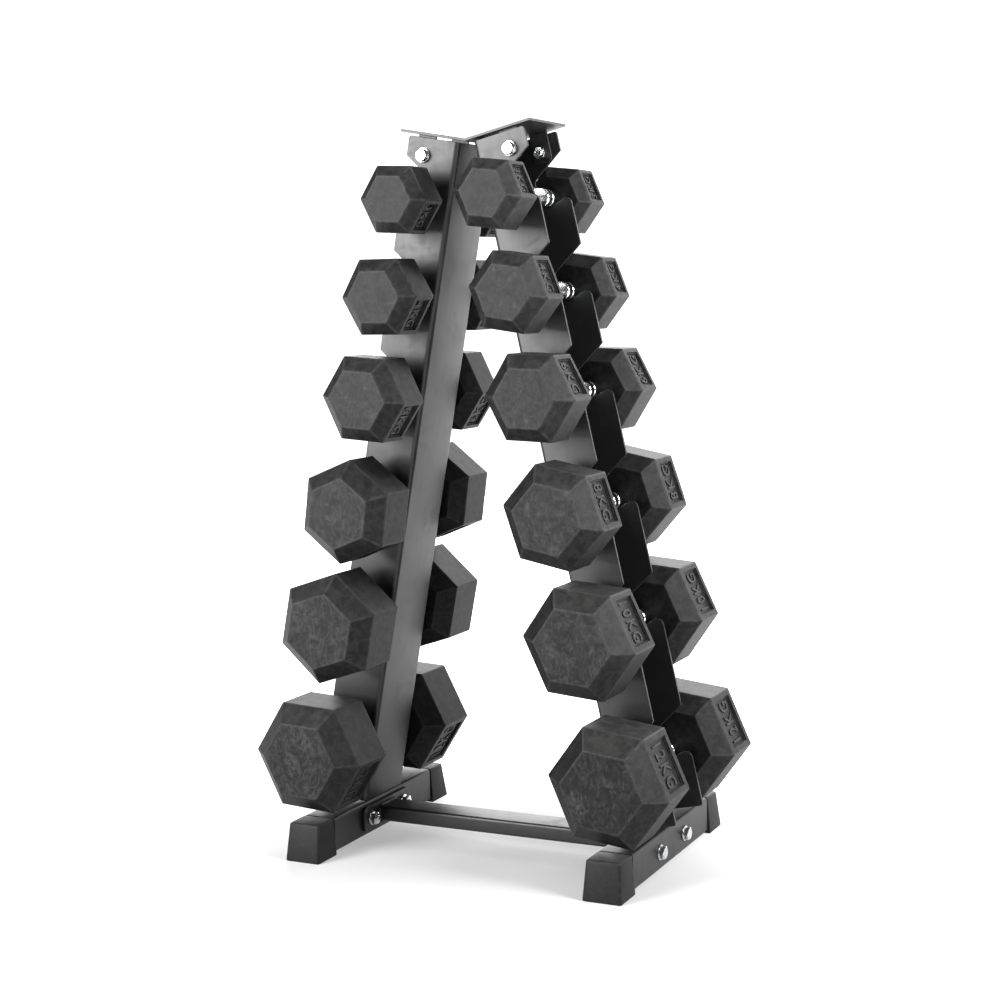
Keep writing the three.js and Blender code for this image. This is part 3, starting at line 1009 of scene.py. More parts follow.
@dataclass
class TopBracket:
    """A V of plate over both posts, with a tab inside each end of each flange."""

    shop: Workshop
    place: PostPlace
    thickness: float = 3.0
    gap: float = 2.5
    overhang_end: float = 10.0
    half_width: float = 46.0
    tab_middle: float = 42.0
    tab_width: float = 22.0
    tab_length: float = 31.0
    tab_corner: float = 6.0
    tab_top_corner: float = 0.6
    tab_inside: float = 36.7
    fold_radius: float = 5.0
    fold_steps: int = 8
    edge_round: float = 0.5

    def plate(self) -> Piece:
        """The plate: its section, a thin V with a rounded fold, carried along Y.

        Returns:
            The plate as an object.
        """
        end = self.place.flange_depth + self.overhang_end
        under = self.place.length + self.gap
        to_rack = self.place.matrix(Side.RIGHT)
        low, high = to_rack @ shift(end, 0, under), to_rack @ shift(end, 0, under + self.thickness)
        slope = math.tan(self.place.lean)
        ends = [(m.translation.x / MM, m.translation.z / MM) for m in (low, high)]
        (low_x, low_z), (high_x, high_z) = ends
        corners = np.array([
            [0.0, low_z - low_x * slope], [low_x, low_z], [high_x, high_z],
            [0.0, high_z - high_x * slope], [-high_x, high_z], [-low_x, low_z],
        ])
        fold = self.fold_radius
        sharp = [SHARP_CORNER] * 2
        radii = np.array([fold + self.thickness, *sharp, fold, *sharp])
        steps = self.fold_steps
        section = rounded_polygon(corners, radii, steps).reshape(6, steps, 2)
        under = np.concatenate([section[5, :1], section[0], section[1, :1]])
        over = np.concatenate([section[4, :1], section[3, ::-1], section[2, :1]])
        across = np.full(len(under), self.half_width)
        rings = [np.stack([line[:, 0], way * across, line[:, 1]], -1)
                 for line, way in ((under, -1), (under, 1), (over, 1), (over, -1))]
        return lofted("top_bracket_plate", np.stack(rings, axis=1))

    def tab(self, side: Side, end: End) -> Piece:
        """One tab: a rectangle with rounded lower corners, carried through its thickness.

        Args:
            side: The side of the rack.
            end: The end of the rack that it is nearer to.

        Returns:
            The tab as an object.
        """
        low = self.place.length - self.tab_length
        high = self.place.length + self.gap + self.thickness / 2
        left, right = self.tab_middle - self.tab_width / 2, self.tab_middle + self.tab_width / 2
        radii = np.array([self.tab_corner] * 2 + [self.tab_top_corner] * 2)
        outline = rounded_polygon(box_corners((left, right), (low, high)), radii, ARC_STEPS)
        inside, outside = sorted((end.value * self.tab_inside,
                                  end.value * (self.tab_inside + self.thickness)))
        obj = extruded(f"{side.word}_bracket_tab_{end.word}", outline, inside, outside, "y")
        return placed(obj, self.place.matrix(side))

    def build(self) -> None:
        """The plate and its four tabs."""
        plate = rounded_edges(self.plate(), self.edge_round)
        self.shop.fit(plate, Slot.STEEL, "top_bracket")
        for side in Side:
            for end in End:
                self.shop.fit(rounded_edges(self.tab(side, end), self.edge_round), Slot.STEEL)


@dataclass
class Base:
    """Two square tubes on flared foot caps, joined by a crossbar between end plates."""

    shop: Workshop
    tube_corner: float = 3.2
    crossbar_corner: float = 3.4
    plate_corner: float = 7.0
    plate_round: float = 0.6
    cap_length: float = 31.0
    cap_flare_side: float = 2.7
    cap_flare_end: float = 7.5
    cap_corner: float = 3.0
    cap_seam_corner: float = 0.8
    cap_seam_gap: float = 0.3
    cap_seam_inset: float = 0.5
    neck_inside_tube: float = 4.0
    neck_inside_cap: float = 2.0
    seam_width: float = 1.6
    seam_depth: float = 1.8
    cap_top_round: float = 2.4
    cap_foot_round: float = 1.4
    weld_radius: float = 2.4
    weld_ripple: float = 0.35
    weld_pitch: float = 3.2
    weld_steps: int = 6
    weld_columns: int = 9
    weld_share: float = 0.8
    weld_tip: float = 0.02
    weld_overlap: float = 0.25
    weld_root: float = 0.15
    weld_inset: float = 1.0

    def bar(self, name: str, node: str, axis: str, corner: float, trim: float = 0.0) -> Piece:
        """A rounded rectangle across a CAD node's box, carried along one of its axes.

        Args:
            name: The object's name.
            node: The CAD node whose box it fills.
            axis: The axis that it is carried along.
            corner: The radius of its corners.
            trim: How far each end stays inside the box.

        Returns:
            The bar as an object.
        """
        low, high = box_mm(node)
        at = "xyz".index(axis)
        (width, height), middle = np.delete(high - low, at), np.delete(low + high, at) / 2
        section = rectangle(width, height, corner) + middle
        return extruded(name, section, low[at] + trim, high[at] - trim, axis)

    def foot_cap(self, side: Side, end: End) -> Piece:
        """One foot cap: rounded rectangles stacked from the floor to the tube's top.

        With k the share of the height still above a ring, its half width is the
        tube's plus k times the side flare, and its length is the cap's plus k times
        the end flare. Quarter circles draw the first and last rings in.

        Args:
            side: The tube that it closes.
            end: The end of that tube.

        Returns:
            The cap as an object.
        """
        low, high = box_mm(f"{side.word}_base_tube")
        half, middle, top = (high[0] - low[0]) / 2, (low[0] + high[0]) / 2, high[2]
        seam = high[1] + self.cap_seam_gap
        turn = np.linspace(0, math.pi / 2, ARC_STEPS)
        foot, crown = self.cap_foot_round, self.cap_top_round
        heights = np.concatenate([foot * (1 - np.cos(turn)), top - crown * (1 - np.sin(turn))])
        insets = np.concatenate([foot * (1 - np.sin(turn)), crown * (1 - np.cos(turn))])
        radii = np.array([self.cap_seam_corner] * 2 + [self.cap_corner] * 2)
        rings = []
        for height, inset in zip(heights, insets):
            share = 1 - height / top
            x = half + share * self.cap_flare_side - inset
            near = seam + inset * self.cap_seam_inset
            far = seam + self.cap_length + share * self.cap_flare_end - inset
            ring = rounded_polygon(box_corners((-x, x), (near, far)), radii, ARC_STEPS)
            rings.append(np.insert(ring, 2, height, axis=1))
        obj = lofted(f"{side.word}_{end.word}_foot", np.array(rings))
        return smooth(placed(obj, shift(middle, 0, 0) @ facing(end is End.BACK)), angle=40)

    def seam(self, side: Side, end: End) -> Piece:
        """The neck of a foot cap, set in from the tube's faces where the two meet.

        Args:
            side: The side of the rack.
            end: The end of the rack that it is nearer to.

        Returns:
            The neck as an object.
        """
        low, high = box_mm(f"{side.word}_base_tube")
        size, middle = high - low - 2 * self.seam_depth, (low + high) / 2
        section = rectangle(size[0], size[2], self.tube_corner) + middle[[0, 2]]
        inside = self.seam_width + self.neck_inside_tube
        near = high[1] - inside if end is End.BACK else low[1] - self.neck_inside_cap
        far = near + inside + self.neck_inside_cap
        neck = extruded(f"{side.word}_{end.word}_cap_neck", section, near, far, "y")
        return smooth(neck, angle=50)

    def weld(self, name: str, path: np.ndarray, out: np.ndarray, up: np.ndarray) -> Piece:
        """A bead of weld in the corner between two faces, with the ripples of its run.

        Its section is a quarter circle bulged outwards. The radius at a length l is
        r + ripple * |sin(pi l / pitch)|, tapered to nothing at both ends.

        Args:
            name: The piece's name.
            path: The two ends of the corner, as a (2, 3) array in millimetres.
            out: The direction along one face, away from the corner.
            up: The direction along the other face.

        Returns:
            The bead as an object.
        """
        start, end = path
        length = float(np.linalg.norm(end - start))
        share = np.linspace(0, 1, int(length / self.weld_pitch * self.weld_steps))
        from_end = np.minimum(share, 1 - share) * length
        taper = np.clip(from_end / self.weld_radius, self.weld_tip, 1) ** 0.5
        ripple = self.weld_ripple * np.abs(np.sin(math.pi * share * length / self.weld_pitch))
        radius = (self.weld_radius * self.weld_share + ripple) * taper
        overlap = self.weld_overlap
        turn = np.linspace(-overlap, math.pi / 2 + overlap, self.weld_columns)
        arm = np.cos(turn)[:, None] * out + np.sin(turn)[:, None] * up
        section = np.concatenate([arm, [-(out + up) * self.weld_root]])
        rings = start + share[:, None, None] * (end - start) + radius[:, None, None] * section
        return smooth(lofted(name, rings), angle=60)

    def welds(self) -> list[Piece]:
        """The beads round the crossbar's ends, where it meets its plates.

        Returns:
            The beads as objects.
        """
        beads = []
        x_axis, y_axis, z_axis = np.eye(3)
        low, high = box_mm("crossbar")
        bottom, top = low[2] + self.weld_inset, high[2] - self.weld_inset
        front, back = low[1] + self.weld_inset, high[1] - self.weld_inset
        for side in Side:
            sign = side.value
            inside = sign * high[0]
            for end in End:
                y = end.value * high[1]
                path = np.array([[inside, y, bottom], [inside, y, top]])
                beads.append(self.weld(f"{side.word}_crossbar_weld_{end.word}", path,
                                       -sign * x_axis, end.value * y_axis))
            for level, name, up in ((high[2], "top", z_axis), (low[2], "under", -z_axis)):
                path = np.array([[inside, front, level], [inside, back, level]])
                beads.append(self.weld(f"{side.word}_crossbar_weld_{name}", path,
                                       -sign * x_axis, up))
        return beads

    def build(self) -> None:
        """The tubes, caps, crossbar, plates and welds."""
        crossbar = self.bar("flat_crossbar", "crossbar", "x", self.crossbar_corner)
        self.shop.fit(smooth(crossbar, angle=50), Slot.STEEL, "crossbar")
        for side in Side:
            word = side.word
            node = f"{word}_base_tube"
            tube = self.bar(f"{word}_square_tube", node, "y", self.tube_corner, self.seam_width)
            self.shop.fit(smooth(tube, angle=50), Slot.STEEL, node)
            node = f"{word}_crossbar_plate"
            plate = self.bar(f"{word}_end_plate", node, "x", self.plate_corner)
            self.shop.fit(rounded_edges(plate, self.plate_round), Slot.STEEL, node)
            for end in End:
                cap = self.foot_cap(side, end)
                self.shop.fit(cap, Slot.PLASTIC, f"{word}_{end.word}_foot_cap")
                self.shop.fit(self.seam(side, end), Slot.PLASTIC)
        for bead in self.welds():
            self.shop.fit(bead, Slot.STEEL)


# ---- Fasteners ----


@dataclass
class Fasteners:
    """Hexagon bolts, washers and nuts, drawn along Y with the head towards -Y."""

    shop: Workshop
    place: PostPlace
    diameter: float = 7.6
    flats: float = 13.0
    head_height: float = 5.3
    nut_height: float = 6.5
    washer_diameter: float = 17.0
    washer_thickness: float = 1.6
    washer_rim: float = 0.35
    rim_cut: float = 0.3
    washer_sides: int = 48
    corner_round: float = 0.5
    chamfer_share: float = 0.47
    chamfer_slope: float = math.tan(math.radians(30))
    thread_pitch: float = 1.25
    thread_depth: float = 0.55
    thread_rows: int = 6
    thread_sides: int = 24
    bolt_end: float = 2.0
    base_grip: float = 44.9

    def hex_bar(self, name: str, low: float, high: float, chamfers: tuple[bool, bool]) -> Piece:
        """A hexagon bar from low to high, its ends cut back to a cone of 30 degrees.

        A point at radius p of the hexagon lies (p - r) tan(30) below the end, where
        r is the radius of the flat circle in the middle of the end.

        Args:
            name: The object's name.
            low: Where it starts along Y.
            high: Where it ends.
            chamfers: Whether the low end and the high end are cut back.

        Returns:
            The bar as an object.
        """
        outline = rounded_polygon(hexagon(self.flats, 0.0), self.corner_round, HEX_ARC_STEPS)
        middle = np.roll(outline, 1, axis=0) * 0.5 + outline * 0.5
        outline = np.stack([middle, outline], axis=1).reshape(-1, 2)
        radius = np.linalg.norm(outline, axis=1)
        flat = self.chamfer_share * self.flats
        circle = outline * (flat / radius)[:, None]
        drop = (radius - flat) * self.chamfer_slope
        low_drop, high_drop = (drop * cut for cut in chamfers)
        shapes = [(circle, low), (outline, low + low_drop),
                  (outline, high - high_drop), (circle, high)]
        rings = np.stack([np.insert(shape, 1, level, axis=1) for shape, level in shapes])
        return smooth(lofted(name, rings), angle=30)

    def washer(self, name: str, low: float, high: float) -> Piece:
        """A washer, as a disc with rounded rims turned about Y.

        Args:
            name: The object's name.
            low: Where it starts along Y.
            high: Where it ends.

        Returns:
            The washer as an object.
        """
        r, rim = self.washer_diameter / 2, self.washer_rim
        cut = rim * self.rim_cut
        profile = np.array([[r - rim, low], [r - cut, low + cut], [r, low + rim],
                            [r, high - rim], [r - cut, high - cut], [r - rim, high]])
        rings = turned(profile[:, :1], profile[:, 1:], full_turn(self.washer_sides))
        return smooth(lofted(name, rings), angle=30)

    def thread(self, name: str, low: float, high: float) -> Piece:
        """A threaded shank with a chamfered end at high.

        The radius is R - depth * |2 f - 1|, where f is the fraction of a turn that
        y / pitch - angle / (2 pi) is past a whole number.

        Args:
            name: The object's name.
            low: Where it starts along Y.
            high: Where it ends.

        Returns:
            The shank as an object.
        """
        rows = int((high - low) / self.thread_pitch * self.thread_rows) + 2
        along, angle = np.linspace(low, high, rows)[:, None], full_turn(self.thread_sides)
        part = np.mod(along / self.thread_pitch - angle / (2 * math.pi), 1.0)
        full = self.diameter / 2
        radius = full - self.thread_depth * np.abs(2 * part - 1)
        radius = np.minimum(radius, full - self.thread_depth + (high - along))
        return smooth(lofted(name, turned(radius, along, angle)), angle=40)

    def joined(self, name: str, parts: list[Piece]) -> Piece:
        """Several bodies as one piece, with each one's sharp edges kept.

        Args:
            name: The piece's name.
            parts: The bodies, which are used up.

        Returns:
            The one piece.
        """
        with bpy.context.temp_override(active_object=parts[0], selected_editable_objects=parts):
            bpy.ops.object.join()
        parts[0].name = name
        return parts[0]

    def bolt(self, name: str, shank: float) -> list[Piece]:
        """A bolt's head, washer and shank, with the washer's seat at zero.

        Args:
            name: The start of the bodies' names.
            shank: The shank's length under the washer.

        Returns:
            The three bodies.
        """
        under = -self.washer_thickness
        return [
            self.hex_bar(f"{name}_head", under - self.head_height, under, (True, False)),
            self.washer(f"{name}_washer", under, 0.0),
            self.thread(f"{name}_shank", 0.0, shank),
        ]

    def nut(self, name: str, low: float) -> Piece:
        """A nut with both ends chamfered, from a place along Y."""
        return self.hex_bar(name, low, low + self.nut_height, (True, True))

    def base_bolt(self, side: Side, end: End) -> Piece:
        """A bolt through a base tube and its end plate, with its second washer and nut.

        Args:
            side: The side of the rack.
            end: The end of the rack that it is nearer to.

        Returns:
            The bolt as one piece, in place.
        """
        name = f"{side.word}_{end.word}_base_bolt_set"
        grip, past = self.base_grip, self.base_grip + self.washer_thickness
        parts = self.bolt(name, past + self.nut_height + self.bolt_end)
        parts += [self.washer(f"{name}_washer_2", grip, past), self.nut(f"{name}_nut", past)]
        obj = self.joined(name, parts)
        low, high = box_mm(f"{side.word}_base_bolt_{end.word}")
        seat = max(-low[0], high[0]) - self.washer_thickness - self.head_height
        middle = (low + high) / 2
        at = shift(side.value * seat, middle[1], middle[2])
        return placed(obj, at @ Matrix.Rotation(side.value * math.pi / 2, 4, "Z"))

    def build(self) -> None:
        """Every bolt and nut on the rack."""
        for side in Side:
            for end in End:
                node = f"{side.word}_base_bolt_{end.word}"
                self.shop.fit(self.base_bolt(side, end), Slot.BOLT, node)
                self.build_top(side, end)

    def build_top(self, side: Side, end: End) -> None:
        """One of the bracket's bolts and its nut, set across the post's flange.

        Args:
            side: The side of the rack.
            end: The end of the rack that it is nearer to.
        """
        bolt_node, nut_node = (f"{side.word}_top_{kind}_{end.word}" for kind in ("bolt", "nut"))
        low, high = box_mm(bolt_node)
        middle = (low + high) / 2
        head = self.washer_thickness + self.head_height
        seat = max(-low[1], high[1]) - head
        shank = high[1] - low[1] - head
        turn = facing(end is End.FRONT)
        tilt = Matrix.Rotation(-side.value * self.place.lean, 4, "Y")
        at = shift(middle[0], end.value * seat, middle[2])
        bolt = self.joined(f"{side.word}_{end.word}_bracket_bolt", self.bolt(bolt_node, shank))
        self.shop.fit(placed(bolt, at @ tilt @ turn), Slot.BOLT, bolt_node)
        nut_low = shank - self.bolt_end - self.nut_height
        nut = self.nut(f"{side.word}_{end.word}_bracket_nut", nut_low)
        self.shop.fit(placed(nut, at @ tilt @ turn), Slot.BOLT, nut_node)


# ---- Dumbbells ----


@dataclass
class Handles:
    """Chromed handles: a knurled grip between ring grooves and plain ends."""

    radius: float = 10.5
    knurl_end: float = 19.0
    knurl_fade: float = 0.8
    knurl_depth: float = 0.4
    knurl_starts: int = 16
    knurl_radius: float = 10.35
    sides: int = 128
    row_step: float = 0.7
    groove_places: tuple[float, float] = (21.8, 34.2)
    groove_width: float = 1.5
    groove_depth: float = 1.3
    spigot_radius: float = 8.5
    spigot_length: float = 24.0

    def outline(self, along: np.ndarray) -> np.ndarray:
        """The handle's radius at each distance from its middle.

        Two round grooves on each side, each a Gaussian dip in the plain radius.

        Args:
            along: Distances from the middle.

        Returns:
            The radius at each of them.
        """
        away = np.abs(along)
        grooves = sum(self.groove_depth * np.exp(-(((away - at) / self.groove_width) ** 2))
                      for at in self.groove_places)
        return self.radius - grooves

    def build_one(self, side: Side, tier: Tier) -> Piece:
        """One handle.

        With n half the starts, the grip's radius at the angle t and the place y is
        R - depth * (1 - min(|sin(n t + k y)|, |sin(n t - k y)|)). It leaves rows of
        diamonds along two crossing helices.

        Args:
            side: The side of the rack.
            tier: The dumbbell's row.

        Returns:
            The handle as an object.
        """
        low, high = box_mm(f"{side.word}_{tier.number}_handle")
        total = (high[1] - low[1]) / 2
        grip = total - self.spigot_length
        rows = int(2 * grip / self.row_step)
        along = np.linspace(-grip, grip, rows)[:, None]
        angle = full_turn(self.sides)
        pitch = self.knurl_starts / 2 / self.radius
        first = np.abs(np.sin(self.knurl_starts * angle / 2 + pitch * along))
        second = np.abs(np.sin(self.knurl_starts * angle / 2 - pitch * along))
        diamonds = self.knurl_radius - self.knurl_depth * (1 - np.minimum(first, second))
        plain = self.outline(along) + 0 * angle
        on_grip = np.clip((self.knurl_end - np.abs(along)) / self.knurl_fade, 0, 1)
        radius = plain * (1 - on_grip) + diamonds * on_grip
        ends = np.array([[self.spigot_radius, -total], [self.spigot_radius, -grip]])
        spigot = turned(ends[:, :1], ends[:, 1:], angle)
        rings = np.concatenate([spigot, turned(radius, along, angle), spigot[::-1] * (1, -1, 1)])
        obj = smooth(lofted(f"{side.word}_dumbbell_{tier.number}_grip", rings), angle=40)
        return placed(obj, handle_place(side, tier))


@dataclass
class Heads:
    """Six-sided rubber heads: bevelled, softened along every edge, with a label recess."""

    grip_half: float = 71.3
    face_share: float = 0.68
    rim_share: float = 0.7
    outer_share: float = 0.17
    inner_share: float = 0.14
    corner_round: float = 1.8
    rim_round: float = 1.6
    face_round: float = 1.6
    inner_wear: float = 0.6
    face_fade: float = 0.3
    shoulder: float = 1.6
    label_length_share: float = 0.74
    label_width_share: float = 0.8
    ledge: float = 1.5
    ledge_depth: float = 1.7
    floor_depth: float = 3.2
    draft: float = 0.5
    figure_height_share: float = 0.6
    figure_width_share: float = 0.9
    figure_rise: float = 1.2
    figure_sink: float = 0.4
    figure_shift: float = 1.0

    def label_lines(self, half: float) -> np.ndarray:
        """Grid lines across a label, at the edges of its floor, its ledge and its rim.

        Args:
            half: Half the label's size across the lines.

        Returns:
            The lines' distances from the label's middle.
        """
        ledge = half - self.ledge
        lines = np.array([ledge - self.draft, ledge, half - self.draft, half])
        return np.concatenate([-lines[::-1], lines])

    def recess(self, away: np.ndarray, half: float) -> tuple[np.ndarray, np.ndarray]:
        """How far inside the ledge's edge and the rim's edge each place is, from 0 to 1.

        Args:
            away: Distances from the label's middle.
            half: Half the label's size.

        Returns:
            The shares of the floor's step and of the ledge's step.
        """
        floor = np.clip((half - self.ledge - away) / self.draft, 0, 1)
        ledge = np.clip((half - away) / self.draft, 0, 1)
        return floor, ledge

    def outline(self, flats: float, label_half: float) -> tuple[np.ndarray, np.ndarray]:
        """The prism's outline, with grid columns where the label needs them.

        Args:
            flats: The size across flats.
            label_half: Half the label's width.

        Returns:
            The points in X and Z, starting on the label's side, and the edge mask.
        """
        steps = HEX_ARC_STEPS
        corners = hexagon(flats, math.radians(30))
        arcs = rounded_polygon(corners, self.corner_round, steps).reshape(6, steps, 2)
        along = np.roll(arcs[:, 0], -1, axis=0) - arcs[:, -1]
        along /= np.linalg.norm(along, axis=1, keepdims=True)
        starts = arcs[:, -1] + along * self.shoulder
        ends = np.roll(arcs[:, 0], -1, axis=0) - along * self.shoulder
        sides = np.concatenate([arcs, starts[:, None], ends[:, None]], axis=1)
        mask = np.tile([1.0] * steps + [0.0, 0.0], 6)
        across = self.label_lines(label_half)
        label = np.stack([np.full(len(across), flats / 2), across], -1)
        around, mask = np.roll(sides.reshape(-1, 2), 1, axis=0), np.roll(mask, 1)
        return np.concatenate([label, around]), np.concatenate([np.zeros(len(across)), mask])

    def shoulders(self, start: np.ndarray, end: np.ndarray) -> np.ndarray:
        """Two points a shoulder's width in from the ends of a straight run."""
        step = (end - start) / np.linalg.norm(end - start) * self.shoulder
        return np.array([start + step, end - step])

    def profile(self, tier: Tier, label_half: float) -> tuple[np.ndarray, np.ndarray, np.ndarray]:
        """The head's section from its inner face to its outer one.

        Args:
            tier: The dumbbell's row.
            label_half: Half the label's length.

        Returns:
            Points of apothem and Y, the edge mask and the end-face mask.
        """
        reach = tier.flats / 2
        face = reach * self.face_share
        start = self.grip_half
        end = start + tier.straight
        inner, outer = start - tier.flats * self.inner_share, end + tier.flats * self.outer_share
        corners = np.array([[0, inner], [face, inner], [reach, start], [reach, end], [face, outer],
                            [0, outer]], float)
        radii = np.array([SHARP_CORNER, self.face_round, self.rim_round])
        radii = radii[[0, 1, 2, 2, 1, 0]]
        arcs = rounded_polygon(corners, radii, ARC_STEPS).reshape(6, ARC_STEPS, 2)
        inner_face, outer_face = corners[0], corners[5]
        lines = self.label_lines(label_half)
        label = np.stack([np.full(len(lines), reach), (start + end) / 2 + lines], -1)
        first, last = self.shoulders(arcs[2, -1], arcs[3, 0])
        # Each band is its points, their wear and painted highlight, and their share of the end
        # face.
        bands = [
            ([inner_face], 0.0, 0.0),
            (self.shoulders(inner_face, arcs[1, 0])[1:], 0.0, 0.0),
            (arcs[1], self.inner_wear, 0.0),
            (self.shoulders(arcs[1, -1], arcs[2, 0]), 0.0, 0.0),
            (arcs[2], 1.0, 0.0),
            ([first, *label, last], 0.0, 0.0),
            (arcs[3], 1.0, 0.0),
            (self.shoulders(arcs[3, -1], arcs[4, 0]), 0.0, 0.0),
            (arcs[4, :ARC_STEPS // 2], 1.0, self.face_fade),
            (arcs[4, ARC_STEPS // 2:], 1.0, 1.0),
            (self.shoulders(arcs[4, -1], outer_face)[:1], 0.0, 1.0),
            ([outer_face], 0.0, 1.0),
        ]
        rows, wear, end_face = zip(*bands)
        counts = [len(points) for points in rows]
        return np.concatenate(rows), np.repeat(wear, counts), np.repeat(end_face, counts)

    def build_one(self, side: Side, tier: Tier, end: End) -> Piece:
        """One head: the outline scaled by the section's apothem, less its label's recess.

        A point is outline(u) * apothem(v) / (flats / 2), at y(v). Inside the label it
        sinks by the ledge's depth, and inside the ledge by the rest of the floor's.

        Args:
            side: The side of the rack.
            tier: The dumbbell's row.
            end: The end of the handle.

        Returns:
            The head as an object.
        """
        corner = tier.flats / math.sqrt(3)
        half_width = corner * self.label_width_share / 2
        half_length = tier.straight * self.label_length_share / 2
        outline, edge_u = self.outline(tier.flats, half_width)
        section, edge_v, end_face = self.profile(tier, half_length)
        scale = section[:, :1] / (tier.flats / 2)
        x, z = outline[:, 0] * scale, outline[:, 1] * scale
        y = section[:, 1:] + 0 * outline[:, 0]
        on_side = (np.arange(len(outline)) < len(self.label_lines(half_width))).astype(float)
        floor_u, ledge_u = self.recess(np.abs(outline[:, 1]), half_width)
        middle = self.grip_half + tier.straight / 2
        floor_v, ledge_v = self.recess(np.abs(section[:, 1] - middle), half_length)
        ledge = ledge_v[:, None] * ledge_u * on_side
        floor = floor_v[:, None] * floor_u * on_side
        x = x - self.ledge_depth * ledge - (self.floor_depth - self.ledge_depth) * floor
        rings = np.stack([x, end.value * y, z], axis=-1)
        name = f"{side.word}_dumbbell_{tier.number}_{end.word}_head"
        # The edge mask paints the rims and corners paler, partly as wear and partly as a painted
        # highlight.
        on_rim = section[:, :1] > tier.flats / 2 * self.rim_share
        wear = np.maximum(edge_u[None, :] * on_rim, edge_v[:, None])
        masks = {"edge": wear, "end_face": end_face[:, None] + 0 * wear}
        obj = lofted(name, rings, masks, closed_ends=False)
        return self.in_place(smooth(obj, angle=30), side, tier)

    def in_place(self, obj: Piece, side: Side, tier: Tier) -> Piece:
        """Turns a piece of a head from the +X side to its label's side, and moves it out."""
        turn = Matrix.Rotation(-tier.label_angle(side), 4, "Y")
        return placed(obj, handle_place(side, tier) @ turn)

    def figures(self, side: Side, tier: Tier, end: End) -> Piece:
        """The weight in raised figures on the label's floor, their tops towards the grip.

        Args:
            side: The side of the rack.
            tier: The dumbbell's row.
            end: The end of the handle.

        Returns:
            The figures as an object.
        """
        name = f"{side.word}_dumbbell_{tier.number}_{end.word}_figures"
        curve = bpy.data.curves.new(name, "FONT")
        curve.body = f"{tier.kilograms}KG"
        curve.offset = 0.004
        curve.extrude = 0.05
        curve.bevel_depth = 0.012
        curve.resolution_u = 3
        curve.space_character = 1.3
        text = new_object(name, curve)
        solved = text.evaluated_get(bpy.context.evaluated_depsgraph_get())
        shape = bpy.data.meshes.new_from_object(solved)
        bpy.data.objects.remove(text)
        points = mesh_points(shape)
        low, high = points.min(0), points.max(0)
        label_width = tier.flats / math.sqrt(3) * self.label_width_share - 2 * self.ledge
        label_length = tier.straight * self.label_length_share - 2 * self.ledge
        size = np.array([label_width * self.figure_width_share,
                         label_length * self.figure_height_share,
                         self.figure_rise + self.figure_sink])
        fitted = ((points - low) / (high - low) - (0.5, 0.5, 0.0)) * size
        across, along, up = fitted.T
        x = tier.flats / 2 - self.floor_depth - self.figure_sink + up
        y = end.value * (self.grip_half + tier.straight / 2 + self.figure_shift) - end.value * along
        z = end.value * across
        shape.vertices.foreach_set("co", (np.stack([x, y, z], -1) * MM).ravel())
        shape.name = name
        add_mask(shape, "edge", (up > size[2] / 2).astype(float))
        return self.in_place(smooth(new_object(name, shape), angle=40), side, tier)


@dataclass
class Dumbbells:
    """The twelve loaded dumbbells, each riding on its own body."""

    shop: Workshop

    def build(self) -> None:
        """Every handle, head and label figure."""
        handles, heads = Handles(), Heads()
        for side in Side:
            for tier in TIERS:
                body = f"{side.word}_dumbbell_{tier.number}"
                stem = f"{side.word}_{tier.number}"
                grip = handles.build_one(side, tier)
                self.shop.fit(grip, Slot.HANDLE, f"{stem}_handle", body=body)
                for end in End:
                    head = heads.build_one(side, tier, end)
                    self.shop.fit(head, Slot.RUBBER, f"{stem}_{end.word}_head", body=body)
                    self.shop.fit(heads.figures(side, tier, end), Slot.RUBBER, body=body)


# ---- Camera and studio ----


@dataclass(frozen=True)
class Viewpoint:
    """A standing view of the rack from its front right, a little above the middle."""

    place: tuple[float, float, float] = (904.2, -1751.6, 620.4)
    yaw: float = 0.474
    pitch: float = -0.104
    roll: float = -0.034
    focal_share: float = 1.73597
    shift: float = -0.01125
    sensor: float = 36.0

    def build(self) -> None:
        """Makes the camera, turned left by its yaw, down by its pitch, and tilted."""
        data = bpy.data.cameras.new("camera")
        data.sensor_width = self.sensor
        data.lens = self.focal_share * self.sensor
        data.shift_y = self.shift
        data.dof.use_dof = False
        camera = new_object("camera", data)
        turn = (Matrix.Rotation(self.yaw, 4, "Z")
                @ Matrix.Rotation(math.pi / 2 + self.pitch, 4, "X")
                @ Matrix.Rotation(self.roll, 4, "Z"))
        camera.matrix_world = shift(*self.place) @ turn
        bpy.context.scene.camera = camera


@dataclass(frozen=True)
class SoftBox:
    """One flat studio light."""

    name: str
    place: tuple[float, float, float]
    target: tuple[float, float, float]
    width: float
    height: float
    watts: float

    def build(self) -> None:
        """Makes the light, aimed at its target."""
        data = bpy.data.lights.new(self.name, "AREA")
        data.shape = "RECTANGLE"
        data.size = self.width
        data.size_y = self.height
        data.energy = self.watts
        lamp = new_object(self.name, data)
        lamp.visible_camera = False
        start, end = Matrix.Translation(self.place), Matrix.Translation(self.target)
        aim = (end.translation - start.translation).to_track_quat("-Z", "Y").to_matrix().to_4x4()
        lamp.matrix_world = start @ aim


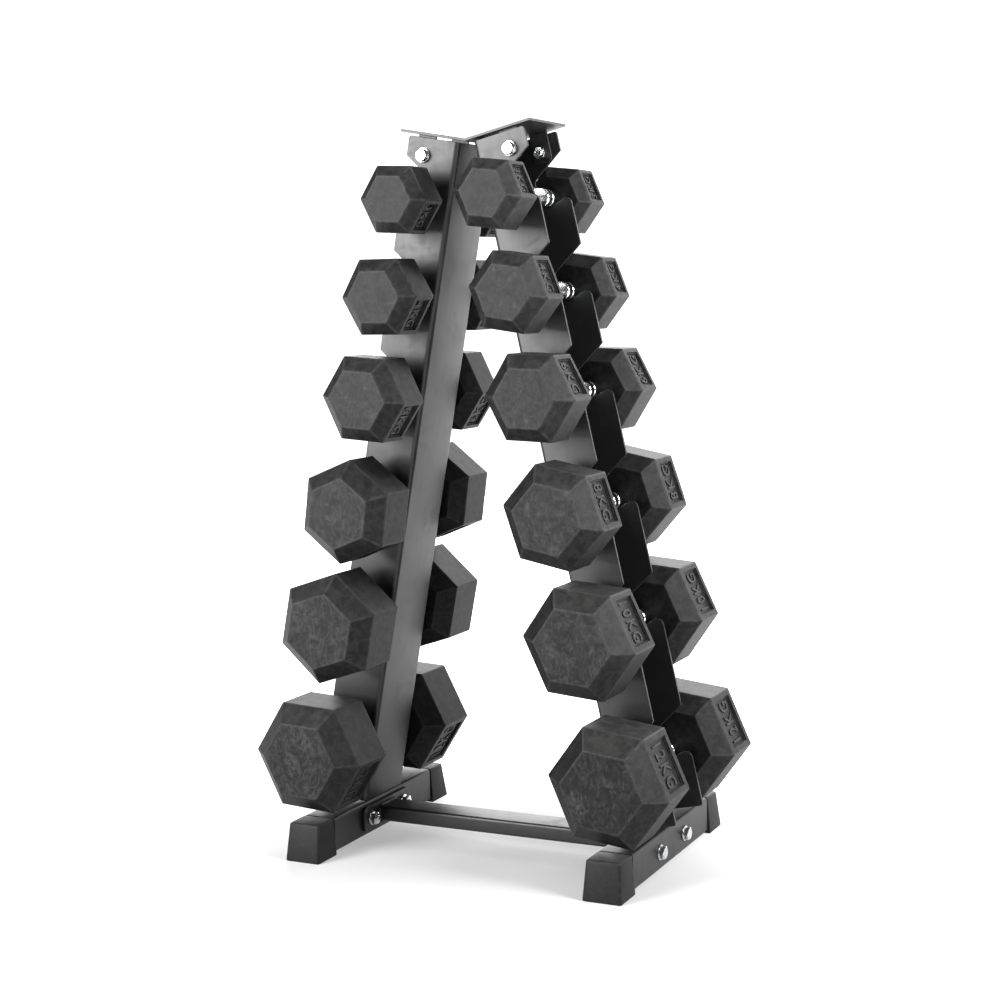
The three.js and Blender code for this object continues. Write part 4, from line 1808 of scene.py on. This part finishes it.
@dataclass(frozen=True)
class Studio:
    """A white floor in a white room, lit from the front left, the right and behind, with a floor
    that glows: dim in a painted shade round the rack, bright further out.
    """

    floor_radius: float = 30.0
    floor_sides: int = 64
    floor_grey: float = 0.55
    # Painted shade and glow: the floor's emission is low inside these edges round a point in front
    # of the rack, and high beyond them.
    near_glow: float = 0.12
    far_glow: float = 1.2
    near_middle: tuple[float, float, float] = (0.2, -0.45, 0.0)
    near_edge: float = 0.35
    far_edge: float = 1.1
    room_light: float = 0.14
    room_seen: float = 1.3
    lights: tuple[SoftBox, ...] = (
        SoftBox("key_light", (-1.3, -2.1, 1.25), (0.0, 0.0, 0.6), 1.2, 1.7, 84.0),
        SoftBox("right_light", (2.1, -0.2, 1.4), (0.0, 0.0, 0.3), 1.0, 1.0, 80.0),
        SoftBox("back_light", (-0.6, 3.4, 0.9), (0.0, 0.0, 0.4), 4.4, 4.4, 225.0),
    )

    def build(self) -> None:
        """Makes the floor, the lights and the room."""
        turn = full_turn(self.floor_sides)
        rim = np.stack([np.cos(turn), np.sin(turn), 0 * turn], -1) * self.floor_radius / MM
        floor = mesh_object("studio_floor", rim, [list(range(len(rim)))])
        material = bpy.data.materials.new("studio_white")
        material.use_nodes = True
        shader = material.node_tree.nodes["Principled BSDF"]
        shader.inputs["Base Color"].default_value = grey(self.floor_grey)
        shader.inputs["Roughness"].default_value = 0.7
        shader.inputs["Specular IOR Level"].default_value = 0.2
        shader.inputs["Emission Color"].default_value = grey(1.0)
        graph = Graph(material.node_tree)
        place = graph.node("ShaderNodeTexCoord").outputs["Object"]
        away = graph.node("ShaderNodeVectorMath", {0: place, 1: self.near_middle},
                          operation="DISTANCE").outputs["Value"]
        # Painted shade: the floor glows less near the rack, darkening it there like a cast shadow,
        # and glows brightly further out, lighting the rack from below.
        graph.feed(shader.inputs["Emission Strength"],
                   graph.span(away, self.near_edge, self.far_edge, self.near_glow, self.far_glow))
        floor.data.materials.append(material)
        for light in self.lights:
            light.build()
        self.room()

    def room(self) -> None:
        """The world: one level of light on the rack, and plain white where it is seen."""
        world = bpy.data.worlds.new("white_room")
        world.use_nodes = True
        bpy.context.scene.world = world
        graph = Graph(world.node_tree)
        seen = graph.node("ShaderNodeLightPath").outputs["Is Camera Ray"]
        strength = graph.span(seen, 0.0, 1.0, self.room_light, self.room_seen)
        background = world.node_tree.nodes["Background"]
        background.inputs["Color"].default_value = grey(1.0)
        graph.feed(background.inputs["Strength"], strength)


def main() -> None:
    """Builds the camera, the studio and every sub-assembly in order."""
    logging.basicConfig(level=logging.INFO, format="%(message)s", stream=sys.stdout)
    bpy.context.scene.view_settings.view_transform = "Standard"
    bpy.context.scene.view_settings.look = "Medium High Contrast"
    Viewpoint().build()
    Studio().build()
    shop, place = Workshop(), PostPlace()
    Base(shop).build()
    Uprights(shop, place).build()
    TopBracket(shop, place).build()
    Fasteners(shop, place).build()
    Dumbbells(shop).build()


if __name__ == "__main__":
    main()
